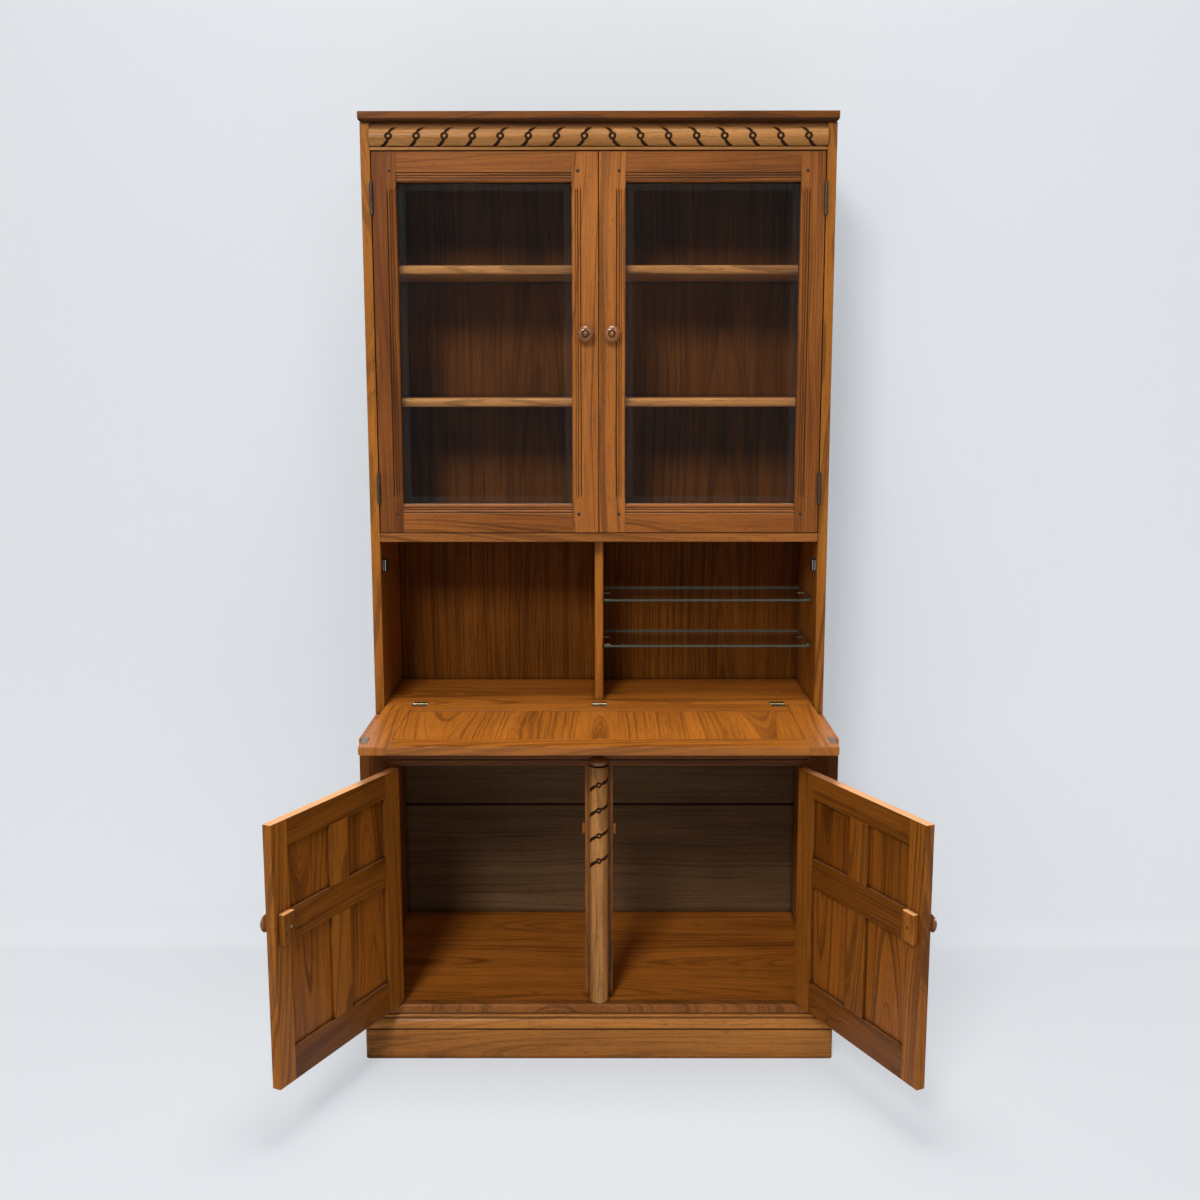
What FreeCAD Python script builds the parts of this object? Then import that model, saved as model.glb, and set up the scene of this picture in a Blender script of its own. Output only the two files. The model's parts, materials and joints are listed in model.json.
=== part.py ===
"""Two-stage display cabinet: carcase, glazed doors, fall flap and cupboard doors.

Frame: +X to the right, +Y towards the wall, +Z up, in millimetres. The origin lies on
the floor, under the middle of the plinth's back board. The flap and the cupboard doors
stand open at rest and the glazed doors are shut.
"""
import os
from types import SimpleNamespace

import FreeCAD
import Part
import Sketcher

SIZES = {
    # carcase
    "case_width": 960.0,
    "case_board": 19.0,
    "base_depth": 480.0,
    "upper_depth": 275.0,
    "back_panel": 6.0,
    "back_inset": 2.0,
    "back_lap": 10.0,
    "back_joint_rise": 273.0,
    # plinth, ledge and bottom
    "plinth_board": 20.0,
    "plinth_face_height": 62.0,
    "plinth_height": 97.0,
    "plinth_projection": 25.0,
    "plinth_corner": 8.0,
    "moulding_quirk": 4.0,
    "moulding_quirk_set": 3.0,
    "moulding_cap": 19.0,
    "moulding_cap_fall": 5.0,
    "moulding_cap_swell": 1.2,
    "moulding_cap_round": 6.0,
    "moulding_bead": 3.5,
    "moulding_bead_set": 4.0,
    "moulding_top": 2.0,
    "bottom_board": 20.0,
    "ledge_projection": 22.5,
    "ledge_nosing": 5.0,
    # base front
    "base_height": 671.0,
    "base_top_board": 18.0,
    "base_rail": 37.0,
    "rail_quirk": 2.5,
    "rail_quirk_height": 11.0,
    "frame_stile": 41.0,
    "frame_board": 20.0,
    "post_half": 19.5,
    "stile_half": 28.0,
    "stile_board": 18.0,
    "stop_gap": 0.5,
    "keeper_width": 6.0,
    "keeper_depth": 14.0,
    "keeper_height": 21.0,
    "keeper_rise": 350.0,
    # middle compartment
    "floor_board": 18.0,
    "opening_height": 354.0,
    "partition_half": 9.5,
    "partition_setback": 55.0,
    "partition_round": 5.0,
    "floor_setback": 18.5,
    # upper case
    "display_floor_board": 19.0,
    "display_floor_setback": 1.5,
    "board_arris": 1.5,
    "shelf_board": 18.0,
    "shelf_setback": 33.0,
    "shelf_round": 6.0,
    "shelf_lower_rise": 280.5,
    "shelf_upper_rise": 552.0,
    "shelf_end_gap": 1.0,
    "shelf_pin_radius": 3.0,
    "shelf_pin_reach": 11.0,
    "shelf_pin_inset": 45.0,
    "frieze_rail": 54.5,
    "frieze_rail_board": 20.0,
    "frieze_rail_setback": 4.0,
    "frieze_fillet": 6.0,
    "frieze_fillet_reach": 6.0,
    "frieze_round": 39.5,
    "frieze_round_reach": 15.0,
    "frieze_lift": 1.0,
    "frieze_quirk": 2.0,
    "top_board": 20.0,
    "top_overhang": 2.5,
    "top_front_overhang": 12.0,
    "top_under_round": 8.0,
    # glass shelves
    "glass_shelf": 6.0,
    "glass_shelf_lower_rise": 124.5,
    "glass_shelf_upper_rise": 225.0,
    "glass_shelf_depth": 180.0,
    "glass_shelf_setback": 48.0,
    "glass_shelf_gap": 6.0,
    "glass_pin_radius": 2.5,
    "glass_pin_reach": 14.0,
    # carving on the frieze and the pilaster
    "carving_depth": 3.0,
    "carving_edge": 0.5,
    "carving_ground": 1.0,
    "carving_margin": 20.0,
    "carving_run_on": 1.0,
    "frieze_pitch": 56.2,
    "frieze_ring": 8.0,
    "frieze_eye": 4.0,
    "frieze_stroke": 4.0,
    "frieze_lean": 17.5,
    "pilaster_pitch": 52.9,
    "pilaster_drop": 35.0,
    "pilaster_ring": 6.0,
    "pilaster_eye": 3.0,
    "pilaster_stroke": 3.0,
    "pilaster_lean": 11.0,
    # glazed doors
    "door_gap": 1.5,
    "glazed_door_height": 771.0,
    "glazed_door_board": 20.0,
    "meeting_gap": 2.0,
    "glazed_hinge_stile": 49.0,
    "glazed_meeting_stile": 54.0,
    "glazed_rail": 60.0,
    "sight_ovolo": 9.0,
    "sight_ovolo_drop": 5.0,
    "sight_ovolo_crown": 1.2,
    "sight_ovolo_heel": 3.0,
    "sight_fillet": 2.5,
    "sight_fillet_set": 1.1,
    "sight_quirk": 2.5,
    "sight_quirk_depth": 3.0,
    "sight_bead": 3.5,
    "sight_bead_set": 0.3,
    "sight_run_on": 1.0,
    "sight_stop": 24.0,
    "sight_cutter": 30.0,
    "rebate_width": 9.0,
    "rebate_lip": 9.0,
    "glass_edge": 3.0,
    "glass_bevel": 2.0,
    "glass_bevel_width": 16.0,
    "glass_room": 1.0,
    "tenon_length": 30.0,
    "tenon_board": 6.0,
    "tenon_set": 7.0,
    "tenon_shoulder": 1.0,
    "tenon_haunch": 12.0,
    "peg_radius": 3.5,
    "peg_room": 0.05,
    "peg_length": 14.0,
    "peg_inset": 38.0,
    "peg_offset": 13.0,
    "door_arris": 1.5,
    # fall flap
    "flap_board": 17.7,
    "flap_length": 352.0,
    "flap_side_gap": 2.0,
    "flap_hinge_gap": 0.5,
    "flap_stile": 56.0,
    "flap_rail": 60.0,
    "flap_muntin": 58.0,
    "flap_middle_panel": 238.0,
    "flap_panel": 8.0,
    "flap_panel_set": 0.8,
    "flap_under_round": 5.0,
    # cupboard doors
    "cupboard_door_board": 18.0,
    "cupboard_gap": 2.0,
    "cupboard_hinge_stile": 52.0,
    "cupboard_free_stile": 45.0,
    "cupboard_top_rail": 49.0,
    "cupboard_bottom_rail": 63.0,
    "cupboard_lock_rail": 60.0,
    "cupboard_lock_rise": 268.0,
    "cupboard_muntin": 55.0,
    "cupboard_panel": 6.0,
    "cupboard_panel_set": 6.0,
    "cupboard_open_angle": 115.7,
    "groove_depth": 8.0,
    "groove_stop": 15.0,
    "panel_room": 0.5,
    "catch_block_width": 32.0,
    "catch_block_height": 56.0,
    "catch_block_board": 12.0,
    "catch_block_inset": 12.0,
    "catch_block_rise": 6.0,
    "catch_block_round": 2.0,
    # butt hinges
    "hinge_gap": 2.4,
    "hinge_leaf": 1.0,
    "hinge_leaf_width": 17.0,
    "hinge_height": 65.0,
    "hinge_offset": 3.5,
    "hinge_knuckle": 3.2,
    "hinge_pin": 1.5,
    "hinge_pin_room": 0.05,
    "hinge_inset": 92.0,
    "knuckle_room": 0.3,
    # flap hinges
    "flap_hinge_width": 32.0,
    "flap_hinge_leaf": 1.5,
    "flap_hinge_reach": 22.0,
    "flap_hinge_knuckle": 2.5,
    "flap_hinge_notch": 3.4,
    "flap_hinge_pin": 1.2,
    "flap_hinge_inset": 76.0,
    "flap_hinge_room": 0.2,
    # catches
    "strike_plate": 1.2,
    "strike_plate_width": 11.0,
    "strike_plate_length": 42.0,
    "strike_plate_reach": 302.0,
    "magnet_width": 9.0,
    "magnet_depth": 22.0,
    "magnet_height": 26.0,
    "magnet_pole": 1.2,
    "magnet_pole_stand": 1.0,
    "magnet_pole_inset": 1.5,
    "magnet_pole_end": 2.0,
    "magnet_gap": 0.4,
    # knobs
    "knob_radius": 17.5,
    "knob_length": 27.0,
    "knob_rose": 11.0,
    "knob_rose_board": 3.0,
    "knob_neck": 7.0,
    "knob_neck_reach": 9.0,
    "knob_head_reach": 17.0,
    "knob_face": 9.5,
    "knob_face_reach": 23.0,
    "knob_button": 5.5,
    "knob_tip": 1.5,
    "knob_groove": 2.0,
    "knob_cove": 0.8,
    "knob_cove_reach": 2.0,
    "knob_under": 6.0,
    "knob_under_reach": 3.5,
    "knob_crown": 2.2,
    "knob_crown_reach": 3.0,
    "knob_dome": 1.4,
    "knob_dome_reach": 1.6,
    "knob_rise": 409.0,
    "knob_cupboard_rise": 37.0,
    "knob_inset": 26.0,
    "knob_cupboard_inset": 23.0,
}


class Dim:
    """A size that carries both its number and the sheet formula it comes from."""

    def __init__(self, value, formula):
        self.value = value
        self.formula = formula

    @staticmethod
    def of(item):
        """Returns a plain number or a size as a size."""
        if isinstance(item, Dim):
            return item
        return Dim(float(item), f"({float(item)})")

    def _join(self, sign, other, value):
        return Dim(value, f"({self.formula} {sign} {other.formula})")

    def __add__(self, other):
        other = Dim.of(other)
        return self._join("+", other, self.value + other.value)

    def __sub__(self, other):
        other = Dim.of(other)
        return self._join("-", other, self.value - other.value)

    def __mul__(self, other):
        other = Dim.of(other)
        return self._join("*", other, self.value * other.value)

    def __truediv__(self, other):
        other = Dim.of(other)
        return self._join("/", other, self.value / other.value)

    def __radd__(self, other):
        return Dim.of(other) + self

    def __rsub__(self, other):
        return Dim.of(other) - self

    def __rmul__(self, other):
        return Dim.of(other) * self

    def __neg__(self):
        return Dim.of(0) - self


doc = FreeCAD.newDocument("display_cabinet")
sheet = doc.addObject("Spreadsheet::Sheet", "Sizes")
for row, (alias, number) in enumerate(SIZES.items(), 1):
    sheet.set(f"A{row}", alias)
    sheet.set(f"B{row}", str(number))
    sheet.setAlias(f"B{row}", alias)
doc.recompute()
S = SimpleNamespace(**{alias: Dim(number, f"Sizes.{alias}") for alias, number in SIZES.items()})
NODES = {}
LEFT = -1
RIGHT = 1
SCOOP_ANGLE = 45.0
SIDE_NAME = {LEFT: "left", RIGHT: "right"}


def bind(item, prop, size):
    """Ties a property of a feature to a size."""
    item.setExpression(prop, Dim.of(size).formula)


def move(item, x, y, z):
    """Ties the position of a feature or body to three sizes."""
    for axis, size in zip("xyz", (x, y, z)):
        bind(item, f"Placement.Base.{axis}", size)


def place_box(box, x, y, z):
    """Ties a box feature to its low and high ends along each axis."""
    for prop, (low, high) in zip(("Length", "Width", "Height"), (x, y, z)):
        bind(box, prop, Dim.of(high) - low)
    move(box, x[0], y[0], z[0])


def name_box_edges():
    """Names a box's twelve edges by the two sides that meet there."""
    names = {}
    for index, edge in enumerate(Part.makeBox(1, 1, 1).Edges, 1):
        middle = edge.CenterOfMass
        sides = []
        for value, low, high in (
            (middle.x, "left", "right"),
            (middle.y, "front", "back"),
            (middle.z, "bottom", "top"),
        ):
            if abs(value - 0.5) > 0.25:
                sides.append(low if value < 0.5 else high)
        names[frozenset(sides)] = f"Edge{index}"
    return names


BOX_EDGES = name_box_edges()


def board(name, x, y, z, rounds="", radius=0.0):
    """Makes a board as its own body, with chosen edges rounded.

    Args:
        name: the body's name.
        x, y, z: low and high end along each axis.
        rounds: edges to round, such as "front-top front-bottom".
        radius: the radius of those rounds.
    """
    body = doc.addObject("PartDesign::Body", name)
    stock = body.newObject("PartDesign::AdditiveBox", f"{name}_stock")
    place_box(stock, x, y, z)
    if rounds:
        round_edges(body, rounds, radius)
    return body


def round_edges(body, rounds, radius):
    """Rounds edges of a board that is still a plain box."""
    doc.recompute()
    stock = body.Tip
    fillet = body.newObject("PartDesign::Fillet", f"{body.Name}_rounds")
    fillet.Base = (stock, [BOX_EDGES[frozenset(pair.split("-"))] for pair in rounds.split()])
    bind(fillet, "Radius", radius)


def add_box(body, label, x, y, z):
    """Adds a box, such as a tenon, to a body."""
    place_box(body.newObject("PartDesign::AdditiveBox", f"{body.Name}_{label}"), x, y, z)


def cut_box(body, label, x, y, z):
    """Cuts a box, such as a groove or mortise, out of a body."""
    place_box(body.newObject("PartDesign::SubtractiveBox", f"{body.Name}_{label}"), x, y, z)


TURN = {
    "x": FreeCAD.Rotation(FreeCAD.Vector(0, 1, 0), 90),
    "y": FreeCAD.Rotation(FreeCAD.Vector(1, 0, 0), -90),
    "z": FreeCAD.Rotation(),
}


def rod(body, kind, label, radius, length, axis, start):
    """Adds or cuts a round bar that runs from a start point along an axis."""
    bar = body.newObject(f"PartDesign::{kind}Cylinder", f"{body.Name}_{label}")
    bar.Placement = FreeCAD.Placement(FreeCAD.Vector(), TURN[axis])
    bind(bar, "Radius", radius)
    bind(bar, "Height", length)
    move(bar, *start)


def pin(name, radius, length, axis, start):
    """Makes a plain round pin as its own body."""
    body = doc.addObject("PartDesign::Body", name)
    rod(body, "Additive", "bar", radius, length, axis, start)
    return body


def outline(body, label, plane, start, steps, offset=(0.0, 0.0, 0.0)):
    """Draws a closed profile whose corners are all tied to sizes.

    Args:
        body: the body that owns the sketch.
        label: the sketch's name.
        plane: role of the origin plane that carries it.
        start: the first corner.
        steps: further corners; one with four sizes ends an arc that passes through the
            point given by its last two.
        offset: how far the sketch stands off that plane, along its own axes.
    """
    sketch = body.newObject("Sketcher::SketchObject", f"{body.Name}_{label}")
    carrier = [item for item in body.Origin.OriginFeatures if item.Role == plane][0]
    sketch.AttachmentSupport = (carrier, [""])
    sketch.MapMode = "FlatFace"
    for axis, size in zip("xyz", offset):
        bind(sketch, f"AttachmentOffset.Base.{axis}", size)
    corners = [tuple(Dim.of(size) for size in step) for step in [start, *steps]]
    points = [FreeCAD.Vector(corner[0].value, corner[1].value, 0) for corner in corners]
    count = len(corners)
    curves = []
    for index in range(count):
        target = corners[(index + 1) % count]
        first, last = points[index], points[(index + 1) % count]
        if len(target) == 4:
            via = FreeCAD.Vector(target[2].value, target[3].value, 0)
            curves.append(sketch.addGeometry(Part.Arc(first, via, last), False))
        else:
            curves.append(sketch.addGeometry(Part.LineSegment(first, last), False))
    ends = [curve_ends(sketch, curve, points[index]) for index, curve in enumerate(curves)]
    for index in range(count):
        following = (index + 1) % count
        add_rule(sketch, "Coincident", curves[index], ends[index][1], curves[following], ends[following][0])
        fix_point(sketch, curves[index], ends[index][0], corners[index])
        target = corners[following]
        if len(target) == 4:
            via = FreeCAD.Vector(target[2].value, target[3].value, 0)
            spot = sketch.addGeometry(Part.Point(via), True)
            fix_point(sketch, spot, 1, target[2:])
            add_rule(sketch, "PointOnObject", spot, 1, curves[index])
    return sketch


def add_circle(sketch, centre, radius):
    """Adds a circle, tied to its centre and radius, to a sketch."""
    x, y, size = Dim.of(centre[0]), Dim.of(centre[1]), Dim.of(radius)
    spot = FreeCAD.Vector(x.value, y.value, 0)
    circle = sketch.addGeometry(Part.Circle(spot, FreeCAD.Vector(0, 0, 1), size.value), False)
    fix_point(sketch, circle, 3, (x, y))
    rule = add_rule(sketch, "Radius", circle, size.value)
    sketch.setExpression(f"Constraints[{rule}]", size.formula)


def curve_ends(sketch, curve, first):
    """Returns a curve's start and end point numbers in drawing order."""
    if sketch.getPoint(curve, 1).distanceToPoint(first) < 1e-6:
        return 1, 2
    return 2, 1


def add_rule(sketch, *rule):
    """Adds one constraint to a sketch."""
    return sketch.addConstraint(Sketcher.Constraint(*rule))


def fix_point(sketch, curve, end, corner):
    """Ties a point of a sketch to its two sizes."""
    for kind, size, axis in (("DistanceX", corner[0], -2), ("DistanceY", corner[1], -1)):
        if size.value == 0.0:
            add_rule(sketch, "PointOnObject", curve, end, axis)
        else:
            index = add_rule(sketch, kind, -1, 1, curve, end, size.value)
            sketch.setExpression(f"Constraints[{index}]", size.formula)


def moulded(name, profile, length, start):
    """Makes a length of moulding along X from a profile in depth and height."""
    body = doc.addObject("PartDesign::Body", name)
    sketch = outline(body, "profile", "YZ_Plane", profile[0], profile[1:])
    pad = body.newObject("PartDesign::Pad", f"{name}_run")
    pad.Profile = sketch
    bind(pad, "Length", length)
    move(body, *start)
    return body


def keep(name, *members):
    """Makes a node of one body, or of several bodies as a group."""
    if len(members) == 1 and members[0].Name == name:
        NODES[name] = members[0]
        return members[0]
    group = doc.addObject("Part::Compound", name)
    group.Links = list(members)
    NODES[name] = group
    return group


def mirror_span(side, low, high):
    """Returns a span across the case on the left or the right side."""
    low, high = Dim.of(low), Dim.of(high)
    return (low, high) if side == RIGHT else (-high, -low)


CASE_HALF = S.case_width / 2
INNER_HALF = CASE_HALF - S.case_board
BACK = S.plinth_board / 2
BASE_FRONT = BACK - S.base_depth
UPPER_FRONT = BACK - S.upper_depth
BACK_FACE = BACK - S.back_inset - S.back_panel
BASE_FLOOR = S.plinth_height + S.bottom_board
BASE_TOP = S.base_height
BASE_TOP_UNDER = BASE_TOP - S.base_top_board
BASE_RAIL_LOW = BASE_TOP_UNDER - S.base_rail
LOCK_LEVEL = BASE_FLOOR + S.cupboard_lock_rise
FLOOR_TOP = BASE_TOP + S.floor_board
OPENING_TOP = FLOOR_TOP + S.opening_height
DISPLAY_FLOOR = OPENING_TOP + S.display_floor_board
GLAZED_LOW = DISPLAY_FLOOR + S.door_gap
GLAZED_HIGH = GLAZED_LOW + S.glazed_door_height
FRIEZE_LOW = GLAZED_HIGH + S.door_gap
TOP_LOW = FRIEZE_LOW + S.frieze_rail
FRIEZE_FRONT = UPPER_FRONT + S.frieze_rail_setback
FULL = (-CASE_HALF, CASE_HALF)
BETWEEN = (-INNER_HALF, INNER_HALF)


def build_plinth():
    """Builds the plinth boards, their moulding and the ledge above it."""
    front = BASE_FRONT - S.plinth_projection
    behind = front + S.plinth_board
    plinth = board("plinth_front", FULL, (front, behind), (0, S.plinth_face_height),
                   "left-front right-front", S.plinth_corner)
    keep("plinth_front", plinth)
    sides = []
    for side in (LEFT, RIGHT):
        span = mirror_span(side, CASE_HALF - S.plinth_board, CASE_HALF)
        sides.append(board(f"plinth_side_{SIDE_NAME[side]}", span, (behind, BACK), (0, S.plinth_height)))
    keep("plinth_sides", *sides)
    inner = (S.plinth_board - CASE_HALF, CASE_HALF - S.plinth_board)
    keep("plinth_back", board("plinth_back", inner, (-BACK, BACK), (0, S.plinth_height)))
    rise = S.plinth_height - S.plinth_face_height
    cap_top = S.moulding_quirk + S.moulding_cap
    bead_low = rise - 2 * S.moulding_bead - S.moulding_top
    bead_back = S.moulding_bead + S.moulding_bead_set - S.plinth_board
    quirk_face = S.moulding_quirk_set - S.plinth_board
    profile = [
        (0, 0),
        (quirk_face, 0),
        (quirk_face, S.moulding_quirk),
        (-S.plinth_board, S.moulding_quirk),
        (S.moulding_cap_fall - S.plinth_board, cap_top,
         S.moulding_cap_swell - S.plinth_board, cap_top - S.moulding_cap_round),
        (bead_back, cap_top),
        (bead_back, bead_low),
        (bead_back, bead_low + 2 * S.moulding_bead, bead_back - S.moulding_bead, bead_low + S.moulding_bead),
        (bead_back, rise),
        (0, rise),
    ]
    keep("plinth_moulding", moulded("plinth_moulding", profile, S.case_width,
                                    (-CASE_HALF, behind, S.plinth_face_height)))
    ledge = (BASE_FRONT - S.ledge_projection, BASE_FRONT)
    keep("base_ledge", board("base_ledge", FULL, ledge, (S.plinth_height, BASE_FLOOR),
                             "front-top front-bottom", S.ledge_nosing))


def build_base():
    """Builds the cupboard base above the plinth."""
    keep("base_bottom", board("base_bottom", BETWEEN, (BASE_FRONT, BACK_FACE), (S.plinth_height, BASE_FLOOR)))
    rise = (BASE_FLOOR, BASE_TOP_UNDER)
    depth = (BASE_FRONT, BASE_FRONT + S.frame_board)
    stiles = []
    for side in (LEFT, RIGHT):
        tag = SIDE_NAME[side]
        span = mirror_span(side, INNER_HALF, CASE_HALF)
        keep(f"base_side_{tag}", board(f"base_side_{tag}", span, (BASE_FRONT, BACK),
                                       (S.plinth_height, BASE_TOP_UNDER)))
        span = mirror_span(side, INNER_HALF - S.frame_stile, INNER_HALF)
        stiles.append(board(f"base_stile_{tag}", span, depth, rise))
    keep("base_stiles", *stiles)
    reach = INNER_HALF - S.frame_stile
    rail = board("base_top_rail", (-reach, reach), depth, (BASE_RAIL_LOW, BASE_TOP_UNDER))
    quirk = BASE_RAIL_LOW + S.rail_quirk_height
    cut_box(rail, "quirk", (-reach, reach), (BASE_FRONT, BASE_FRONT + S.rail_quirk),
            (quirk, quirk + S.rail_quirk))
    keep("base_top_rail", rail)
    rebate = BASE_FRONT + S.cupboard_door_board + S.stop_gap
    stile = board("centre_stile", (-S.stile_half, S.stile_half), (rebate, rebate + S.stile_board),
                  (BASE_FLOOR, BASE_RAIL_LOW))
    add_box(stile, "post", (-S.post_half, S.post_half), (BASE_FRONT, rebate), (BASE_FLOOR, BASE_RAIL_LOW))
    keep("centre_stile", stile)
    keepers = []
    for side in (LEFT, RIGHT):
        span = mirror_span(side, S.stile_half, S.stile_half + S.keeper_width)
        keepers.append(board(f"door_keeper_{SIDE_NAME[side]}", span,
                             (rebate + S.stile_board - S.keeper_depth, rebate + S.stile_board),
                             (BASE_FLOOR + S.keeper_rise, BASE_FLOOR + S.keeper_rise + S.keeper_height)))
    keep("door_keepers", *keepers)
    joint = BASE_FLOOR + S.back_joint_rise
    lower = board("base_back_lower", BETWEEN, (BACK_FACE, BACK_FACE + S.back_panel),
                  (S.plinth_height, joint + S.back_lap))
    upper = board("base_back_upper", BETWEEN, (BACK_FACE - S.back_panel, BACK_FACE), (joint, BASE_TOP_UNDER))
    keep("base_back", lower, upper)
    keep("base_top", board("base_top", FULL, (BASE_FRONT, BACK), (BASE_TOP_UNDER, BASE_TOP)))


def scroll_outline(lay, motif):
    """Returns the corners of an S-shaped scroll with a ring at its middle.

    Each arm leaves the ring across the half-round, bends along it and runs out at the edge.

    Args:
        lay: turns sizes along and across the half-round into a point of the sketch.
        motif: the ring's radius, the stroke, how far an arm leans along and where it ends.
    """
    ring, stroke, lean, edge = motif
    waist = (ring + edge) / 2
    corners = []
    for sign in (1, -1):
        corners += [
            (*lay(sign * stroke * 3 / 4, sign * (ring - stroke / 8)), *lay(sign * ring, 0)),
            (*lay(sign * lean, sign * edge), *lay(sign * lean * 3 / 7, sign * waist)),
            lay(sign * (lean - 2 * stroke), sign * edge),
            (*lay(-sign * stroke / 4, sign * ring), *lay(sign * stroke / 2, sign * waist)),
        ]
    return corners


def carve_scrolls(body, label, lay, motif, row):
    """Cuts a row of scrolls into the front of a half-round.

    Args:
        body: the half-round's body.
        label: prefix of the features' names.
        lay: turns sizes along and across the half-round into a point of the front plane.
        motif: the ring's and the eye's radius, the stroke, the lean and half the width.
        row: how far the plane stands off, the axis of the row, whether it runs backwards,
            its pitch and the formula of its count.
    """
    ring, eye, stroke, lean, half = motif
    stand, axis, backwards, pitch, count = row
    edge = half + S.carving_run_on
    corners = scroll_outline(lay, (ring, stroke, lean, edge))
    sketch = outline(body, f"{label}_scroll", "XZ_Plane", corners[0], corners[1:], (0, 0, stand))
    add_circle(sketch, lay(0, 0), eye)
    pocket = body.newObject("PartDesign::Pocket", f"{body.Name}_{label}_cut")
    pocket.Profile = sketch
    pocket.Reversed = True
    bind(pocket, "Length", edge)
    doc.recompute()
    repeat = body.newObject("PartDesign::LinearPattern", f"{body.Name}_{label}_row")
    repeat.Originals = [pocket]
    repeat.Direction = (sketch, [axis])
    repeat.Reversed = backwards
    repeat.Mode = "Spacing"
    bind(repeat, "Offset", pitch)
    repeat.setExpression("Occurrences", count)
    body.Tip = repeat
    doc.recompute()


def add_half_round(body, label, half, reach, rise):
    """Adds an upright half-round that stands on the plane of the base's front."""
    back = BASE_FRONT
    sketch = outline(body, label, "XY_Plane", (-half, back), [(half, back, 0, back - reach)], (0, 0, rise[0]))
    pad = body.newObject("PartDesign::Pad", f"{body.Name}_{label}_run")
    pad.Profile = sketch
    bind(pad, "Length", rise[1] - rise[0])


def build_pilaster():
    """Builds the half-round pilaster with its domed head and four carved scrolls."""
    body = doc.addObject("PartDesign::Body", "pilaster")
    half = S.post_half
    add_half_round(body, "shaft", half, half, (BASE_FLOOR, BASE_RAIL_LOW))
    dome = body.newObject("PartDesign::AdditiveSphere", "pilaster_dome")
    dome.Placement = FreeCAD.Placement(FreeCAD.Vector(), FreeCAD.Rotation(FreeCAD.Vector(0, 0, 1), 180))
    bind(dome, "Radius", half)
    dome.Angle1 = 0
    dome.Angle2 = 90
    dome.Angle3 = 180
    move(dome, 0, BASE_FRONT, BASE_RAIL_LOW)
    top = BASE_RAIL_LOW - S.pilaster_drop

    def lay(along, across):
        return across, top + along

    motif = (S.pilaster_ring, S.pilaster_eye, S.pilaster_stroke, S.pilaster_lean, half)
    count = f"floor({((top - BASE_FLOOR) / 2 / S.pilaster_pitch).formula})"
    carve_scrolls(body, "carving", lay, motif,
                  (S.carving_ground - BASE_FRONT, "V_Axis", True, S.pilaster_pitch, count))
    ends = (BASE_FLOOR + S.carving_margin, BASE_RAIL_LOW - S.carving_margin / 4)
    add_half_round(body, "ground", half - S.carving_edge, half - S.carving_depth, ends)
    keep("pilaster", body)


def build_upper():
    """Builds the upper case: sides, floors, shelves, frieze, top and back."""
    for side in (LEFT, RIGHT):
        tag = SIDE_NAME[side]
        keep(f"upper_side_{tag}", board(f"upper_side_{tag}", mirror_span(side, INNER_HALF, CASE_HALF),
                                        (UPPER_FRONT, BACK), (BASE_TOP, TOP_LOW)))
    floor = board("compartment_floor", BETWEEN, (UPPER_FRONT + S.floor_setback, BACK_FACE),
                  (BASE_TOP, FLOOR_TOP))
    cut_hinge_seats(floor, 1)
    keep("compartment_floor", floor)
    keep("partition", board("partition", (-S.partition_half, S.partition_half),
                            (UPPER_FRONT + S.partition_setback, BACK_FACE), (FLOOR_TOP, OPENING_TOP),
                            "left-front right-front", S.partition_round))
    keep("display_floor", board("display_floor", BETWEEN,
                                (UPPER_FRONT + S.display_floor_setback, BACK_FACE),
                                (OPENING_TOP, DISPLAY_FLOOR), "front-top front-bottom", S.board_arris))
    keep("upper_back", board("upper_back", BETWEEN, (BACK_FACE, BACK_FACE + S.back_panel),
                             (BASE_TOP, TOP_LOW)))
    keep("frieze_rail", board("frieze_rail", BETWEEN, (FRIEZE_FRONT, FRIEZE_FRONT + S.frieze_rail_board),
                              (FRIEZE_LOW, TOP_LOW)))
    build_frieze()
    reach = CASE_HALF + S.top_overhang
    keep("top_board", board("top_board", (-reach, reach), (UPPER_FRONT - S.top_front_overhang, BACK),
                            (TOP_LOW, TOP_LOW + S.top_board), "front-bottom left-bottom right-bottom",
                            S.top_under_round))


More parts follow.
